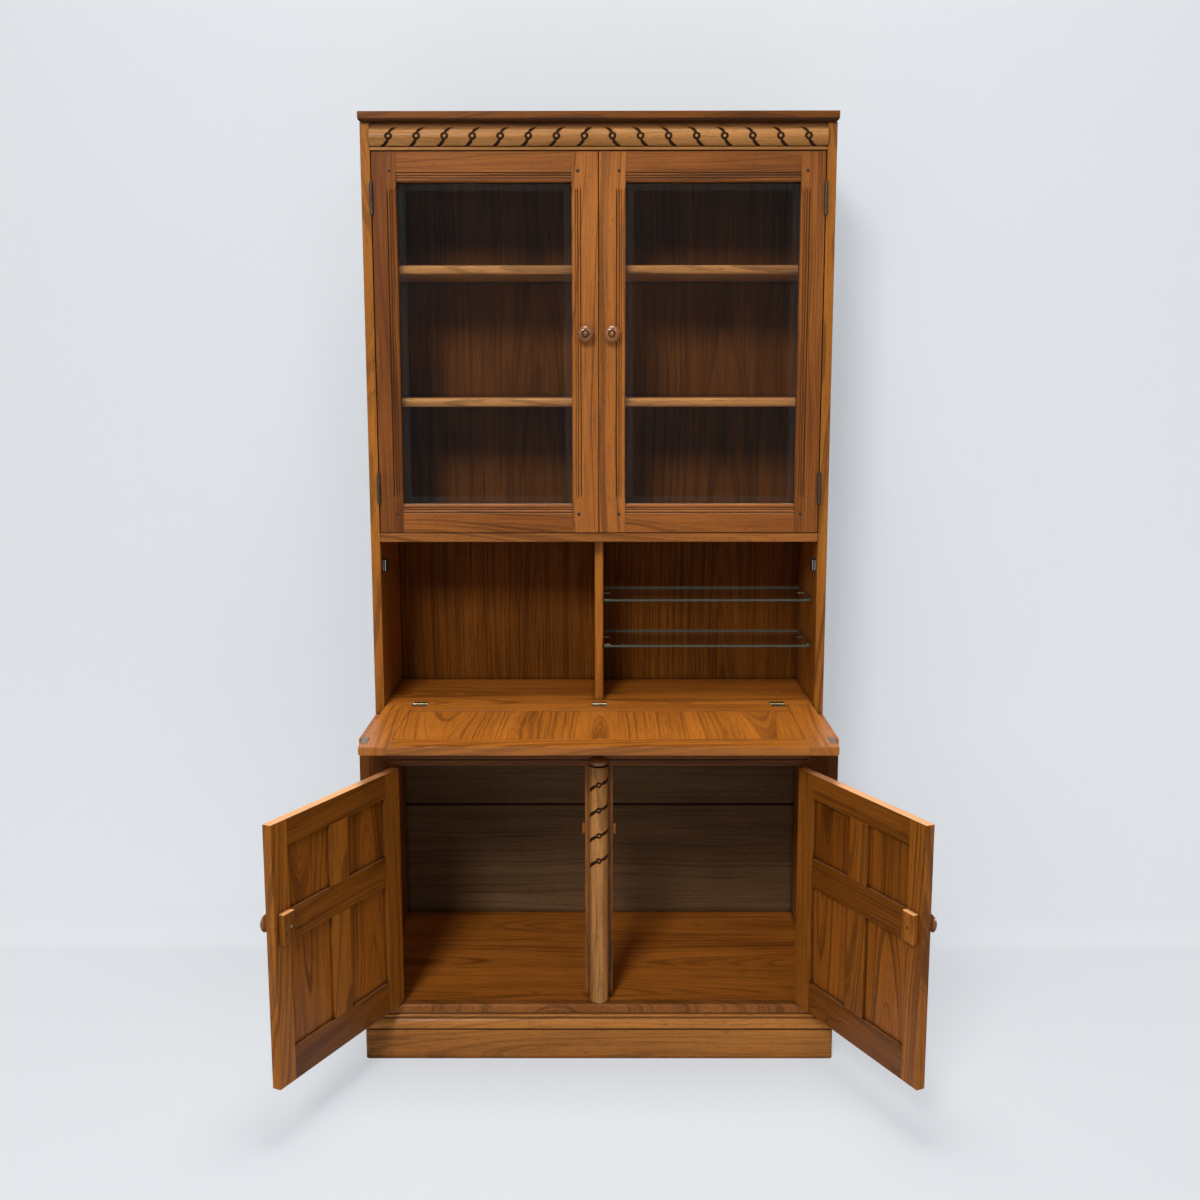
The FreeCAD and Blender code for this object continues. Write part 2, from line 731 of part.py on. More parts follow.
def build_frieze():
    """Builds the frieze's half-round with its rows of scrolls, which lean from the middle."""
    low = S.frieze_fillet
    high = low + S.frieze_round
    middle = (low + high) / 2
    reach = S.frieze_round_reach
    length = 2 * INNER_HALF
    profile = [
        (0, 0),
        (-S.frieze_fillet_reach, 0),
        (-S.frieze_fillet_reach, low),
        (-S.frieze_quirk, low),
        (-S.frieze_quirk, high, -reach, middle),
        (0, high),
    ]
    body = moulded("frieze_moulding", profile, length,
                   (-INNER_HALF, FRIEZE_FRONT, FRIEZE_LOW + S.frieze_lift))
    motif = (S.frieze_ring, S.frieze_eye, S.frieze_stroke, S.frieze_lean, S.frieze_round / 2)
    first = S.frieze_pitch / 2
    count = f"floor({((INNER_HALF - first - S.carving_margin) / S.frieze_pitch).formula}) + 1"
    for side in (LEFT, RIGHT):

        def lay(along, across):
            return INNER_HALF + side * (first - along), middle + across

        carve_scrolls(body, SIDE_NAME[side], lay, motif,
                      (S.carving_ground, "H_Axis", side == LEFT, S.frieze_pitch, count))
    core = S.carving_ground / 2
    edge = S.carving_edge
    sketch = outline(body, "ground", "YZ_Plane", (-core, low + edge), [
        (-core, high - edge),
        (-S.frieze_quirk + edge, high - edge),
        (-S.frieze_quirk + edge, low + edge, S.carving_depth - reach, middle),
    ], (0, 0, S.carving_margin / 2))
    pad = body.newObject("PartDesign::Pad", "frieze_moulding_ground_run")
    pad.Profile = sketch
    bind(pad, "Length", length - S.carving_margin)
    keep("frieze_moulding", body)


def build_shelves():
    """Builds the wooden and glass shelves and the pins they rest on."""
    pins = []
    reach = INNER_HALF - S.shelf_end_gap
    front = UPPER_FRONT + S.shelf_setback
    for tag, rise in (("upper", S.shelf_upper_rise), ("lower", S.shelf_lower_rise)):
        name = f"display_shelf_{tag}"
        level = DISPLAY_FLOOR + rise
        keep(name, board(name, (-reach, reach), (front, BACK_FACE), (level - S.shelf_board, level),
                         "front-top front-bottom", S.shelf_round))
        height = level - S.shelf_board - S.shelf_pin_radius
        for side in (LEFT, RIGHT):
            span = mirror_span(side, INNER_HALF - S.shelf_pin_reach, INNER_HALF)
            for end, depth in (("front", front + S.shelf_pin_inset), ("back", BACK_FACE - S.shelf_pin_inset)):
                pins.append(pin(f"shelf_pin_{tag}_{SIDE_NAME[side]}_{end}", S.shelf_pin_radius,
                                S.shelf_pin_reach, "x", (span[0], depth, height)))
    front = UPPER_FRONT + S.glass_shelf_setback
    span = (S.partition_half + S.shelf_end_gap, INNER_HALF - S.glass_shelf_gap)
    rests = (("inner", S.partition_half), ("outer", INNER_HALF - S.glass_pin_reach))
    for tag, rise in (("upper", S.glass_shelf_upper_rise), ("lower", S.glass_shelf_lower_rise)):
        name = f"glass_shelf_{tag}"
        level = FLOOR_TOP + rise
        keep(name, board(name, span, (front, front + S.glass_shelf_depth), (level - S.glass_shelf, level),
                         "front-top front-bottom", S.board_arris))
        height = level - S.glass_shelf - S.glass_pin_radius
        for place, start in rests:
            for end, depth in (("front", front + S.shelf_pin_inset),
                               ("back", front + S.glass_shelf_depth - S.shelf_pin_inset)):
                pins.append(pin(f"glass_pin_{tag}_{place}_{end}", S.glass_pin_radius, S.glass_pin_reach, "x",
                                (start, depth, height)))
    keep("shelf_pins", *pins)


def build_magnets():
    """Builds the magnetic catches that hold the flap shut."""
    face = UPPER_FRONT + S.floor_setback - S.flap_hinge_gap + S.strike_plate + S.magnet_gap
    centre = FLOOR_TOP + S.strike_plate_reach
    rise = (centre - S.magnet_height / 2, centre + S.magnet_height / 2)
    pieces = []
    for side in (LEFT, RIGHT):
        tag = SIDE_NAME[side]
        block = board(f"magnet_{tag}", mirror_span(side, INNER_HALF - S.magnet_width, INNER_HALF),
                      (face + S.magnet_pole_stand, face + S.magnet_depth), rise)
        pieces.append(block)
        for place, start in (("inner", INNER_HALF - S.magnet_width + S.magnet_pole_inset),
                             ("outer", INNER_HALF - S.magnet_pole_inset - S.magnet_pole)):
            span = mirror_span(side, start, start + S.magnet_pole)
            pole = board(f"magnet_pole_{tag}_{place}", span, (face, face + S.magnet_pole_stand),
                         (rise[0] + S.magnet_pole_end, rise[1] - S.magnet_pole_end))
            pieces.append(pole)
    keep("magnet_catches", *pieces)


def door_span(side, low, high):
    """Returns a span measured from a door's hinge axis towards its free edge."""
    return mirror_span(-side, low, high)


def hinge_axis(side, opening_half, front):
    """Returns where a door's hinge axis stands."""
    across = opening_half - S.hinge_gap / 2
    return (across if side == RIGHT else -across), front - S.hinge_offset


def butt_leaf(name, side, low, on_case):
    """Makes one leaf of a butt hinge about an axis through the origin.

    Args:
        name: the body's name.
        side: the side of the case that the door hangs on.
        low: height of the hinge's lower end.
        on_case: whether it is the leaf on the case, with the two outer knuckles.
    """
    half = S.hinge_gap / 2
    inner = (-half, S.hinge_leaf - half) if on_case else (half - S.hinge_leaf, half)
    across = door_span(side, *inner)
    body = board(name, across, (S.hinge_offset, S.hinge_offset + S.hinge_leaf_width),
                 (low, low + S.hinge_height))
    third = S.hinge_height / 3
    room = S.knuckle_room / 2
    rows = [(low, third - room), (low + 2 * third + room, third - room)]
    if not on_case:
        rows = [(low + third + room, third - 2 * room)]
    for index, (start, length) in enumerate(rows):
        add_box(body, f"tab_{index}", across, (0, S.hinge_offset), (start, start + length))
        rod(body, "Additive", f"knuckle_{index}", S.hinge_knuckle, length, "z", (0, 0, start))
    rod(body, "Subtractive", "bore", S.hinge_pin + S.hinge_pin_room, S.hinge_height, "z", (0, 0, low))
    return body


def hinge_rows(low, high):
    """Returns the lower ends of a door's two hinges."""
    return (low + S.hinge_inset - S.hinge_height / 2, high - S.hinge_inset - S.hinge_height / 2)


def hang(group, axis, angle=0.0):
    """Moves a door's group to its hinge axis and turns it to its rest angle."""
    place = f"vector({axis[0].formula}; {axis[1].formula}; 0)"
    turn = f"rotation(vector(0; 0; 1); {Dim.of(angle).formula})"
    group.setExpression("Placement", f"placement({place}; {turn})")


def turned_knob(name, at):
    """Makes a turned knob that points to the front from a door's face."""
    body = doc.addObject("PartDesign::Body", name)
    face = S.knob_face_reach
    sketch = outline(body, "profile", "XY_Plane", (0, 0), [
        (S.knob_rose, 0),
        (S.knob_rose, -S.knob_rose_board),
        (S.knob_neck, -S.knob_neck_reach,
         S.knob_neck + S.knob_cove, -S.knob_rose_board - S.knob_cove_reach),
        (S.knob_radius, -S.knob_head_reach,
         S.knob_neck + S.knob_under, -S.knob_neck_reach - S.knob_under_reach),
        (S.knob_face, -face, S.knob_radius - S.knob_crown, S.knob_crown_reach - face),
        (S.knob_button, S.knob_groove - face),
        (S.knob_tip, -S.knob_length, S.knob_button - S.knob_dome, S.knob_dome_reach - S.knob_length),
        (0, -S.knob_length),
    ])
    turn = body.newObject("PartDesign::Revolution", f"{name}_turning")
    turn.Profile = sketch
    turn.ReferenceAxis = (sketch, ["V_Axis"])
    turn.Angle = 360
    move(body, *at)
    return body


def sight_moulding(place):
    """Returns what the moulding of a glazed door takes off: its outline round the sight edge.

    From the glass outwards run an ovolo, a fillet, a quirk, a bead and a second quirk.

    Args:
        place: turns a distance from the sight edge and a depth below the face into a point.

    Returns:
        The first corner and the further steps.
    """
    fillet = S.sight_ovolo + S.sight_fillet
    bead = fillet + S.sight_quirk
    last = bead + S.sight_bead
    end = last + S.sight_quirk
    over = S.sight_run_on
    steps = [
        (*place(S.sight_ovolo, S.sight_ovolo_heel), *place(S.sight_ovolo / 2, S.sight_ovolo_crown)),
        place(S.sight_ovolo, S.sight_fillet_set),
        place(fillet, S.sight_fillet_set),
        place((fillet + bead) / 2, S.sight_quirk_depth),
        place(bead, S.sight_fillet_set),
        (*place(last, S.sight_fillet_set), *place((bead + last) / 2, S.sight_bead_set)),
        place((last + end) / 2, S.sight_quirk_depth),
        place(end, -over),
        place(-over, -over),
        place(-over, S.sight_ovolo_drop),
    ]
    return place(0, S.sight_ovolo_drop), steps


def mould_rail(rail, span, face, sight):
    """Works the moulding along a rail's sight edge, from stile to stile."""
    edge, way = sight

    def place(inset, depth):
        return face + depth, edge + way * inset

    sketch = outline(rail, "moulding", "YZ_Plane", *sight_moulding(place), (0, 0, span[0]))
    pocket = rail.newObject("PartDesign::Pocket", f"{rail.Name}_moulding_cut")
    pocket.Profile = sketch
    pocket.Reversed = True
    bind(pocket, "Length", span[1] - span[0])


def mould_stile(stile, side, sight, face, run):
    """Works the moulding along a stile's sight edge, with scooped stops short of the rails."""
    edge, way = sight
    radius = S.sight_cutter

    def place(inset, depth):
        across = edge + way * inset
        return (across if side == LEFT else -across), radius + depth

    for name, level in (("low", run[0]), ("high", run[1])):
        sketch = outline(stile, f"moulding_{name}", "XY_Plane", *sight_moulding(place),
                         (0, face - radius, level))
        if name == "low":
            pocket = stile.newObject("PartDesign::Pocket", f"{stile.Name}_moulding_cut")
            pocket.Profile = sketch
            pocket.Reversed = True
            bind(pocket, "Length", run[1] - run[0])
        scoop = stile.newObject("PartDesign::Groove", f"{stile.Name}_scoop_{name}")
        scoop.Profile = sketch
        scoop.ReferenceAxis = (sketch, ["H_Axis"])
        scoop.Angle = SCOOP_ANGLE
        scoop.Reversed = name == "low"


def build_glazed_door(side):
    """Builds one glazed door about its hinge axis and hangs it shut."""
    tag = f"glazed_{SIDE_NAME[side]}"
    axis = hinge_axis(side, INNER_HALF, UPPER_FRONT)
    hinge_edge = S.hinge_gap / 2
    free_edge = INNER_HALF - S.hinge_gap / 2 - S.meeting_gap / 2
    face = S.hinge_offset
    back = face + S.glazed_door_board
    sight = (hinge_edge + S.glazed_hinge_stile, free_edge - S.glazed_meeting_stile)
    rows = (GLAZED_LOW + S.glazed_rail, GLAZED_HIGH - S.glazed_rail)
    rebate = (face + S.rebate_lip, back)
    tenon = (face + S.tenon_set, face + S.tenon_set + S.tenon_board)
    seat_edge = S.rebate_width + S.tenon_shoulder
    frame = []
    pegs = []
    rails = []
    for place, low, high in (("bottom", GLAZED_LOW, rows[0]), ("top", rows[1], GLAZED_HIGH)):
        rail = board(f"{tag}_{place}_rail", door_span(side, *sight), (face, back), (low, high))
        if place == "bottom":
            tongue = (low + S.tenon_haunch, high - seat_edge)
            lip = (high - S.rebate_width, high)
        else:
            tongue = (low + seat_edge, high - S.tenon_haunch)
            lip = (low, low + S.rebate_width)
        add_box(rail, "tenon", door_span(side, sight[0] - S.tenon_length, sight[1] + S.tenon_length),
                tenon, tongue)
        cut_box(rail, "rebate", door_span(side, *sight), rebate, lip)
        mould_rail(rail, door_span(side, *sight), face, (high, -1) if place == "bottom" else (low, 1))
        rails.append((rail, tongue, low, high))
        frame.append(rail)
    stiles = (("hinge", hinge_edge, sight[0], 1), ("meeting", sight[1], free_edge, -1))
    for place, low, high, way in stiles:
        stile = board(f"{tag}_{place}_stile", door_span(side, low, high), (face, back),
                      (GLAZED_LOW, GLAZED_HIGH))
        edge = high if way == 1 else low
        lip = (edge - S.rebate_width, edge) if way == 1 else (edge, edge + S.rebate_width)
        cut_box(stile, "rebate", door_span(side, *lip), rebate,
                (rows[0] - S.rebate_width, rows[1] + S.rebate_width))
        seat = (edge - S.tenon_length, edge) if way == 1 else (edge, edge + S.tenon_length)
        for rail, tongue, rail_low, rail_high in rails:
            name = "low" if rail is rails[0][0] else "high"
            cut_box(stile, f"mortise_{name}", door_span(side, *seat), tenon, tongue)
            across = edge - way * S.peg_offset
            height = (GLAZED_LOW + S.peg_inset) if rail is rails[0][0] else (GLAZED_HIGH - S.peg_inset)
            spot = (across if side == LEFT else -across, face, height)
            for target in (stile, rail):
                rod(target, "Subtractive", f"peg_hole_{place}_{name}", S.peg_radius + S.peg_room,
                    S.peg_length, "y", spot)
            pegs.append(pin(f"{tag}_peg_{place}_{name}", S.peg_radius, S.peg_length, "y", spot))
        mould_stile(stile, side, (edge, -way), face, (rows[0] + S.sight_stop, rows[1] - S.sight_stop))
        frame.append(stile)
    glass = build_pane(tag, side, sight, rows, face + S.rebate_lip)
    beads = []
    bead_face = face + S.rebate_lip + S.glass_bevel + S.glass_edge
    for place, low, high in (("hinge", sight[0] - S.rebate_width, sight[0]),
                             ("meeting", sight[1], sight[1] + S.rebate_width)):
        beads.append(board(f"{tag}_bead_{place}", door_span(side, low, high), (bead_face, back),
                           (rows[0] - S.rebate_width, rows[1] + S.rebate_width)))
    for place, low, high in (("low", rows[0] - S.rebate_width, rows[0]),
                             ("high", rows[1], rows[1] + S.rebate_width)):
        beads.append(board(f"{tag}_bead_{place}", door_span(side, *sight), (bead_face, back), (low, high)))
    across = free_edge - S.knob_inset
    knob = turned_knob(f"{tag}_knob_turning", (across if side == LEFT else -across, face,
                                               GLAZED_LOW + S.knob_rise))
    lows = hinge_rows(GLAZED_LOW, GLAZED_HIGH)
    leaves = [butt_leaf(f"{tag}_leaf_{index}", side, low, False) for index, low in enumerate(lows)]
    hang(keep(f"{tag}_frame", *frame), axis)
    hang(keep(f"{tag}_glass", glass), axis)
    hang(keep(f"{tag}_beads", *beads), axis)
    hang(keep(f"{tag}_knob", knob), axis)
    hang(keep(f"{tag}_pegs", *pegs), axis)
    hang(keep(f"{tag}_hinge_leaves", *leaves), axis)
    return case_hinges(tag, side, axis, lows)


def build_pane(tag, side, sight, rows, front):
    """Makes a pane of glass with a bevelled front edge, held in the rebates."""
    cover = S.rebate_width - S.glass_room
    across = door_span(side, sight[0] - cover, sight[1] + cover)
    rise = (rows[0] - cover, rows[1] + cover)
    bevel = cover + S.glass_bevel_width
    body = doc.addObject("PartDesign::Body", f"{tag}_pane")
    middle = front + S.glass_bevel
    add_box(body, "sheet", across, (middle, middle + S.glass_edge), rise)
    wedge = body.newObject("PartDesign::AdditiveWedge", f"{tag}_pane_bevel")
    for prop, size in (
        ("Xmin", across[0] + bevel), ("Xmax", across[1] - bevel),
        ("Zmin", rise[0] + bevel), ("Zmax", rise[1] - bevel),
        ("Ymin", front), ("Ymax", middle),
        ("X2min", across[0]), ("X2max", across[1]),
        ("Z2min", rise[0]), ("Z2max", rise[1]),
    ):
        bind(wedge, prop, size)
    return body


def case_hinges(tag, side, axis, lows):
    """Makes the case leaves and pins of one door's hinges."""
    leaves = []
    pins = []
    for index, low in enumerate(lows):
        leaf = butt_leaf(f"{tag}_case_leaf_{index}", side, low, True)
        move(leaf, axis[0], axis[1], 0)
        leaves.append(leaf)
        pins.append(pin(f"{tag}_hinge_pin_{index}", S.hinge_pin, S.hinge_height, "z",
                        (axis[0], axis[1], low)))
    return leaves, pins


def framed(tag, lay, width, height, stiles, rails, muntins, thickness, panel, rounds):
    """Builds a frame of grooved members round flat panels.

    Args:
        tag: prefix of the members' names.
        lay: turns spans across, along and through the frame into x, y and z spans.
        width, height: spans of the whole frame.
        stiles: widths of the first and the last stile.
        rails: spans of the rails, from first to last.
        muntins: spans of the muntins, from first to last.
        thickness: thickness of the members.
        panel: span of the panels within that thickness.
        rounds: edges and radius for a member, by its name.

    Returns:
        The members and the panels.
    """
    depth = S.groove_depth
    through = (0, thickness)
    inner = (width[0] + stiles[0], width[1] - stiles[1])
    members = []
    panels = []

    def member(label, across, along):
        edges, radius = rounds.get(label, ("", 0.0))
        body = board(f"{tag}_{label}", *lay(across, along, through), edges, radius)
        members.append(body)
        return body

    first = member("stile_first", (width[0], inner[0]), height)
    last = member("stile_last", (inner[1], width[1]), height)
    run = (height[0] + S.groove_stop, height[1] - S.groove_stop)
    cut_box(first, "groove", *lay((inner[0] - depth, inner[0]), run, panel))
    cut_box(last, "groove", *lay((inner[1], inner[1] + depth), run, panel))
    reach = (inner[0] - depth, inner[1] + depth)
    for index, (low, high) in enumerate(rails):
        rail = member(f"rail_{index}", inner, (low, high))
        tongue_low = run[0] if index == 0 else low
        tongue_high = run[1] if index == len(rails) - 1 else high
        add_box(rail, "tongue", *lay(reach, (tongue_low, tongue_high), panel))
        if index > 0:
            cut_box(rail, "groove_low", *lay(reach, (low, low + depth), panel))
        if index < len(rails) - 1:
            cut_box(rail, "groove_high", *lay(reach, (high - depth, high), panel))
    for row in range(len(rails) - 1):
        low, high = rails[row][1], rails[row + 1][0]
        long_run = (low - depth, high + depth)
        for index, (left, right) in enumerate(muntins):
            post = member(f"muntin_{row}_{index}", (left, right), (low, high))
            add_box(post, "tongue", *lay((left, right), long_run, panel))
            cut_box(post, "groove_low", *lay((left, left + depth), long_run, panel))
            cut_box(post, "groove_high", *lay((right - depth, right), long_run, panel))
        edges = [inner[0], *[edge for span in muntins for edge in span], inner[1]]
        cover = depth - S.panel_room
        for index in range(0, len(edges), 2):
            spans = ((edges[index] - cover, edges[index + 1] + cover), (low - cover, high + cover), panel)
            panels.append(board(f"{tag}_panel_{row}_{index}", *lay(*spans)))
    return members, panels


def build_cupboard_door(side):
    """Builds one panelled cupboard door about its hinge axis and hangs it open."""
    tag = f"cupboard_{SIDE_NAME[side]}"
    axis = hinge_axis(side, INNER_HALF - S.frame_stile, BASE_FRONT)
    hinge_edge = S.hinge_gap / 2
    free_edge = INNER_HALF - S.frame_stile - S.hinge_gap / 2 - S.post_half - S.cupboard_gap
    low = BASE_FLOOR + S.cupboard_gap
    high = BASE_RAIL_LOW - S.cupboard_gap
    face = S.hinge_offset

    def lay(across, along, through):
        return door_span(side, *across), (face + through[0], face + through[1]), along

    lock = (LOCK_LEVEL, LOCK_LEVEL + S.cupboard_lock_rail)
    rails = [(low, low + S.cupboard_bottom_rail), lock, (high - S.cupboard_top_rail, high)]
    middle = (hinge_edge + S.cupboard_hinge_stile + free_edge - S.cupboard_free_stile) / 2
    muntins = [(middle - S.cupboard_muntin / 2, middle + S.cupboard_muntin / 2)]
    panel = (S.cupboard_panel_set, S.cupboard_panel_set + S.cupboard_panel)
    free_side = "right" if side == LEFT else "left"
    rounds = {"stile_last": (f"{free_side}-front {free_side}-back", S.door_arris)}
    members, panels = framed(tag, lay, (hinge_edge, free_edge), (low, high),
                             (S.cupboard_hinge_stile, S.cupboard_free_stile), rails, muntins,
                             S.cupboard_door_board, panel, rounds)
    inside = face + S.cupboard_door_board
    block_end = free_edge - S.catch_block_inset
    block_low = LOCK_LEVEL + S.catch_block_rise
    block = board(f"{tag}_catch_block_stock", door_span(side, block_end - S.catch_block_width, block_end),
                  (inside, inside + S.catch_block_board),
                  (block_low, block_low + S.catch_block_height),
                  "left-back right-back back-top back-bottom", S.catch_block_round)
    across = free_edge - S.knob_cupboard_inset
    knob = turned_knob(f"{tag}_knob_turning", (across if side == LEFT else -across, face,
                                               LOCK_LEVEL + S.knob_cupboard_rise))
    lows = hinge_rows(low, high)
    leaves = [butt_leaf(f"{tag}_leaf_{index}", side, start, False) for index, start in enumerate(lows)]
    angle = S.cupboard_open_angle if side == RIGHT else -S.cupboard_open_angle
    hang(keep(f"{tag}_frame", *members), axis, angle)
    hang(keep(f"{tag}_panels", *panels), axis, angle)
    hang(keep(f"{tag}_knob", knob), axis, angle)
    hang(keep(f"{tag}_catch_block", block), axis, angle)
    hang(keep(f"{tag}_hinge_leaves", *leaves), axis, angle)
    return case_hinges(tag, side, axis, lows)


FLAP_AXIS = UPPER_FRONT + S.floor_setback - S.flap_hinge_gap
FLAP_HINGE_REACH = INNER_HALF - S.flap_hinge_inset
FLAP_HINGES = (("left", -FLAP_HINGE_REACH), ("middle", Dim.of(0)), ("right", FLAP_HINGE_REACH))


def flap_depth(way, low, high):
    """Returns a span measured from the flap's axis to the wall or to the front."""
    if way == 1:
        return FLAP_AXIS + low, FLAP_AXIS + high
    return FLAP_AXIS - high, FLAP_AXIS - low


def cut_hinge_seats(body, way):
    """Cuts the seats of the three flap hinges into the floor or the flap."""
    half = S.flap_hinge_width / 2 + S.flap_hinge_room
    for tag, centre in FLAP_HINGES:
        span = (centre - half, centre + half)
        cut_box(body, f"notch_{tag}", span, flap_depth(way, 0, S.flap_hinge_notch),
                (FLOOR_TOP - S.flap_hinge_notch, FLOOR_TOP))
        cut_box(body, f"seat_{tag}", span,
                flap_depth(way, S.flap_hinge_notch, S.flap_hinge_reach + S.flap_hinge_room),
                (FLOOR_TOP - S.flap_hinge_leaf, FLOOR_TOP))


def flap_leaf(name, centre, way):
    """Makes one leaf of a flap hinge; the floor's leaf has the two outer knuckles."""
    half = S.flap_hinge_width / 2
    rise = (FLOOR_TOP - S.flap_hinge_leaf, FLOOR_TOP)
    body = board(name, (centre - half, centre + half),
                 flap_depth(way, S.flap_hinge_notch, S.flap_hinge_reach), rise)
    third = S.flap_hinge_width / 3
    room = S.knuckle_room / 2
    rows = [(centre - half, third - room), (centre - half + 2 * third + room, third - room)]
    if way == -1:
        rows = [(centre - half + third + room, third - 2 * room)]
    for index, (start, length) in enumerate(rows):
        add_box(body, f"tab_{index}", (start, start + length), flap_depth(way, 0, S.flap_hinge_notch), rise)
        rod(body, "Additive", f"knuckle_{index}", S.flap_hinge_knuckle, length, "x", (start, FLAP_AXIS, FLOOR_TOP))
    rod(body, "Subtractive", "bore", S.flap_hinge_pin + S.hinge_pin_room, S.flap_hinge_width, "x",
        (centre - half, FLAP_AXIS, FLOOR_TOP))
    return body


def build_flap():
    """Builds the fall flap, let down, with its hinges and strike plates."""
    half = INNER_HALF - S.flap_side_gap

    def lay(across, along, through):
        return (across, flap_depth(-1, *along), (FLOOR_TOP - through[1], FLOOR_TOP - through[0]))

    rails = [(S.flap_hinge_gap, S.flap_hinge_gap + S.flap_rail), (S.flap_length - S.flap_rail, S.flap_length)]
    muntins = []
    inner = S.flap_middle_panel / 2
    for side in (LEFT, RIGHT):
        muntins.append(mirror_span(side, inner, inner + S.flap_muntin))
    rounds = {
        "stile_first": ("front-bottom left-bottom", S.flap_under_round),
        "stile_last": ("front-bottom right-bottom", S.flap_under_round),
        "rail_1": ("front-bottom", S.flap_under_round),
    }
    panel = (S.flap_panel_set, S.flap_panel_set + S.flap_panel)
    members, panels = framed("flap", lay, (-half, half), (S.flap_hinge_gap, S.flap_length),
                             (S.flap_stile, S.flap_stile), rails, muntins, S.flap_board, panel, rounds)
    cut_hinge_seats([member for member in members if member.Name == "flap_rail_0"][0], -1)
    plates = []
    for side in (LEFT, RIGHT):
        span = mirror_span(side, half - S.strike_plate_width, half)
        reach = (S.strike_plate_reach - S.strike_plate_length / 2, S.strike_plate_reach + S.strike_plate_length / 2)
        plates.append(board(f"strike_plate_{SIDE_NAME[side]}", span, flap_depth(-1, *reach),
                            (FLOOR_TOP, FLOOR_TOP + S.strike_plate)))
    keep("flap_frame", *members)
    keep("flap_panels", *panels)
    keep("strike_plates", *plates)
    floor_leaves = []
    flap_leaves = []
    pins = []
    for tag, centre in FLAP_HINGES:
        floor_leaves.append(flap_leaf(f"flap_hinge_floor_leaf_{tag}", centre, 1))
        flap_leaves.append(flap_leaf(f"flap_hinge_leaf_{tag}", centre, -1))
        pins.append(pin(f"flap_hinge_pin_{tag}", S.flap_hinge_pin, S.flap_hinge_width, "x",
                        (centre - S.flap_hinge_width / 2, FLAP_AXIS, FLOOR_TOP)))
    keep("flap_hinge_leaves", *flap_leaves)
    keep("flap_hinge_floor_leaves", *floor_leaves)
    return pins


def check_and_write():
    """Checks every feature and writes one STEP file for each node."""
    doc.recompute()
    for item in doc.Objects:
        if "Invalid" in item.State or "Error" in item.State:
            raise RuntimeError(f"{item.Name} failed: {item.State}")
    os.makedirs("parts", exist_ok=True)
    for name, item in NODES.items():
        shape = item.Shape
        if shape.isNull() or not shape.isValid() or not shape.Solids:
            raise RuntimeError(f"{name} has no sound solid")
        shape.exportStep(os.path.join("parts", f"{name}.step"))
        print(name, len(shape.Solids), round(shape.Volume))
    print(len(NODES), "nodes")


def build():
    """Builds the whole cabinet."""
    build_plinth()
    build_base()
    build_pilaster()
    build_upper()
    build_shelves()
    build_magnets()
    leaves = []
    pins = []
    for side in (LEFT, RIGHT):
        for maker in (build_glazed_door, build_cupboard_door):
            new_leaves, new_pins = maker(side)
            leaves += new_leaves
            pins += new_pins
    pins += build_flap()
    keep("butt_hinge_case_leaves", *leaves)
    keep("hinge_pins", *pins)
    check_and_write()


build()
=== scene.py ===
"""Looks of a two-stage display cabinet: stained and waxed wood, bevelled glass and dull metal fittings.

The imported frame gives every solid, in metres. This script dresses each one with a procedural
finish, adds the small screws that the solids leave out, cuts the scrolls of the frieze and of the
pilaster smoothly, turns the pilaster's button, and sets up the camera and the light.
"""
from __future__ import annotations

import json
import logging
import math
from collections.abc import Sequence
from dataclasses import dataclass, replace
from enum import Enum
from typing import TypedDict

import bmesh
import bpy
import numpy as np
from mathutils import Matrix, Vector

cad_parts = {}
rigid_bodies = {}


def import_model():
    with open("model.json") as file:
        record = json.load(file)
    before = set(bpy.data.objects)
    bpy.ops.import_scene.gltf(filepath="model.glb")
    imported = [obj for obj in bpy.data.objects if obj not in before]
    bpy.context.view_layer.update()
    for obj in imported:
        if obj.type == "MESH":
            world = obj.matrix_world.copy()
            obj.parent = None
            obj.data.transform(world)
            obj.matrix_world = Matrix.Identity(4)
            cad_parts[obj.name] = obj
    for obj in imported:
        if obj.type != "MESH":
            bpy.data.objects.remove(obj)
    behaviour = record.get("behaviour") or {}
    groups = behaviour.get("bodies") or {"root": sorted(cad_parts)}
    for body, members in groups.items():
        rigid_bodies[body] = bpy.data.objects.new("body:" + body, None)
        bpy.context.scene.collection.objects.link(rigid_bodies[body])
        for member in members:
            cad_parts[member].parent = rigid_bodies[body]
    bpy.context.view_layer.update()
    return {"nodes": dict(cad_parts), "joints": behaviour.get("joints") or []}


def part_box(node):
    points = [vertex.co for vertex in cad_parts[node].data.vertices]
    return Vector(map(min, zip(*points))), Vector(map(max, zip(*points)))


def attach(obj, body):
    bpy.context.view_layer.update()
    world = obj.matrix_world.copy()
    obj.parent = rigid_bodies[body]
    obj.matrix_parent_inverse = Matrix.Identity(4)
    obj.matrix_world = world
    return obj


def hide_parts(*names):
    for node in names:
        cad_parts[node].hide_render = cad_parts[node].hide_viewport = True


LOG = logging.getLogger("cabinet")
CASE_BODY = "carcase"
CUT = "cut"
QUARTER_TURN = math.pi / 2
CREASE = math.radians(38.0)
WELD = 1e-7
TINY = 1e-6
# A share times its complement is a quarter at most, and PEAK brings that to 1.
PEAK = 4.0
Colour = tuple[float, float, float]
Direction = tuple[float, float, float]
Span = tuple[float, float]
Shades = tuple[float, ...]
Nodes = dict[str, bpy.types.Object]
Settings = dict[str, bool | int | str]
Inputs = dict[int | str, "Value | float | Colour"]


class Hinge(TypedDict):
    """What this script reads of a joint of the frame."""

    name: str
    pos_m: Sequence[float]
    range_deg: Sequence[float]


class Axis(Enum):
    """A direction of the cabinet: to the right, to the wall, or up."""

    X = 0
    Y = 1
    Z = 2


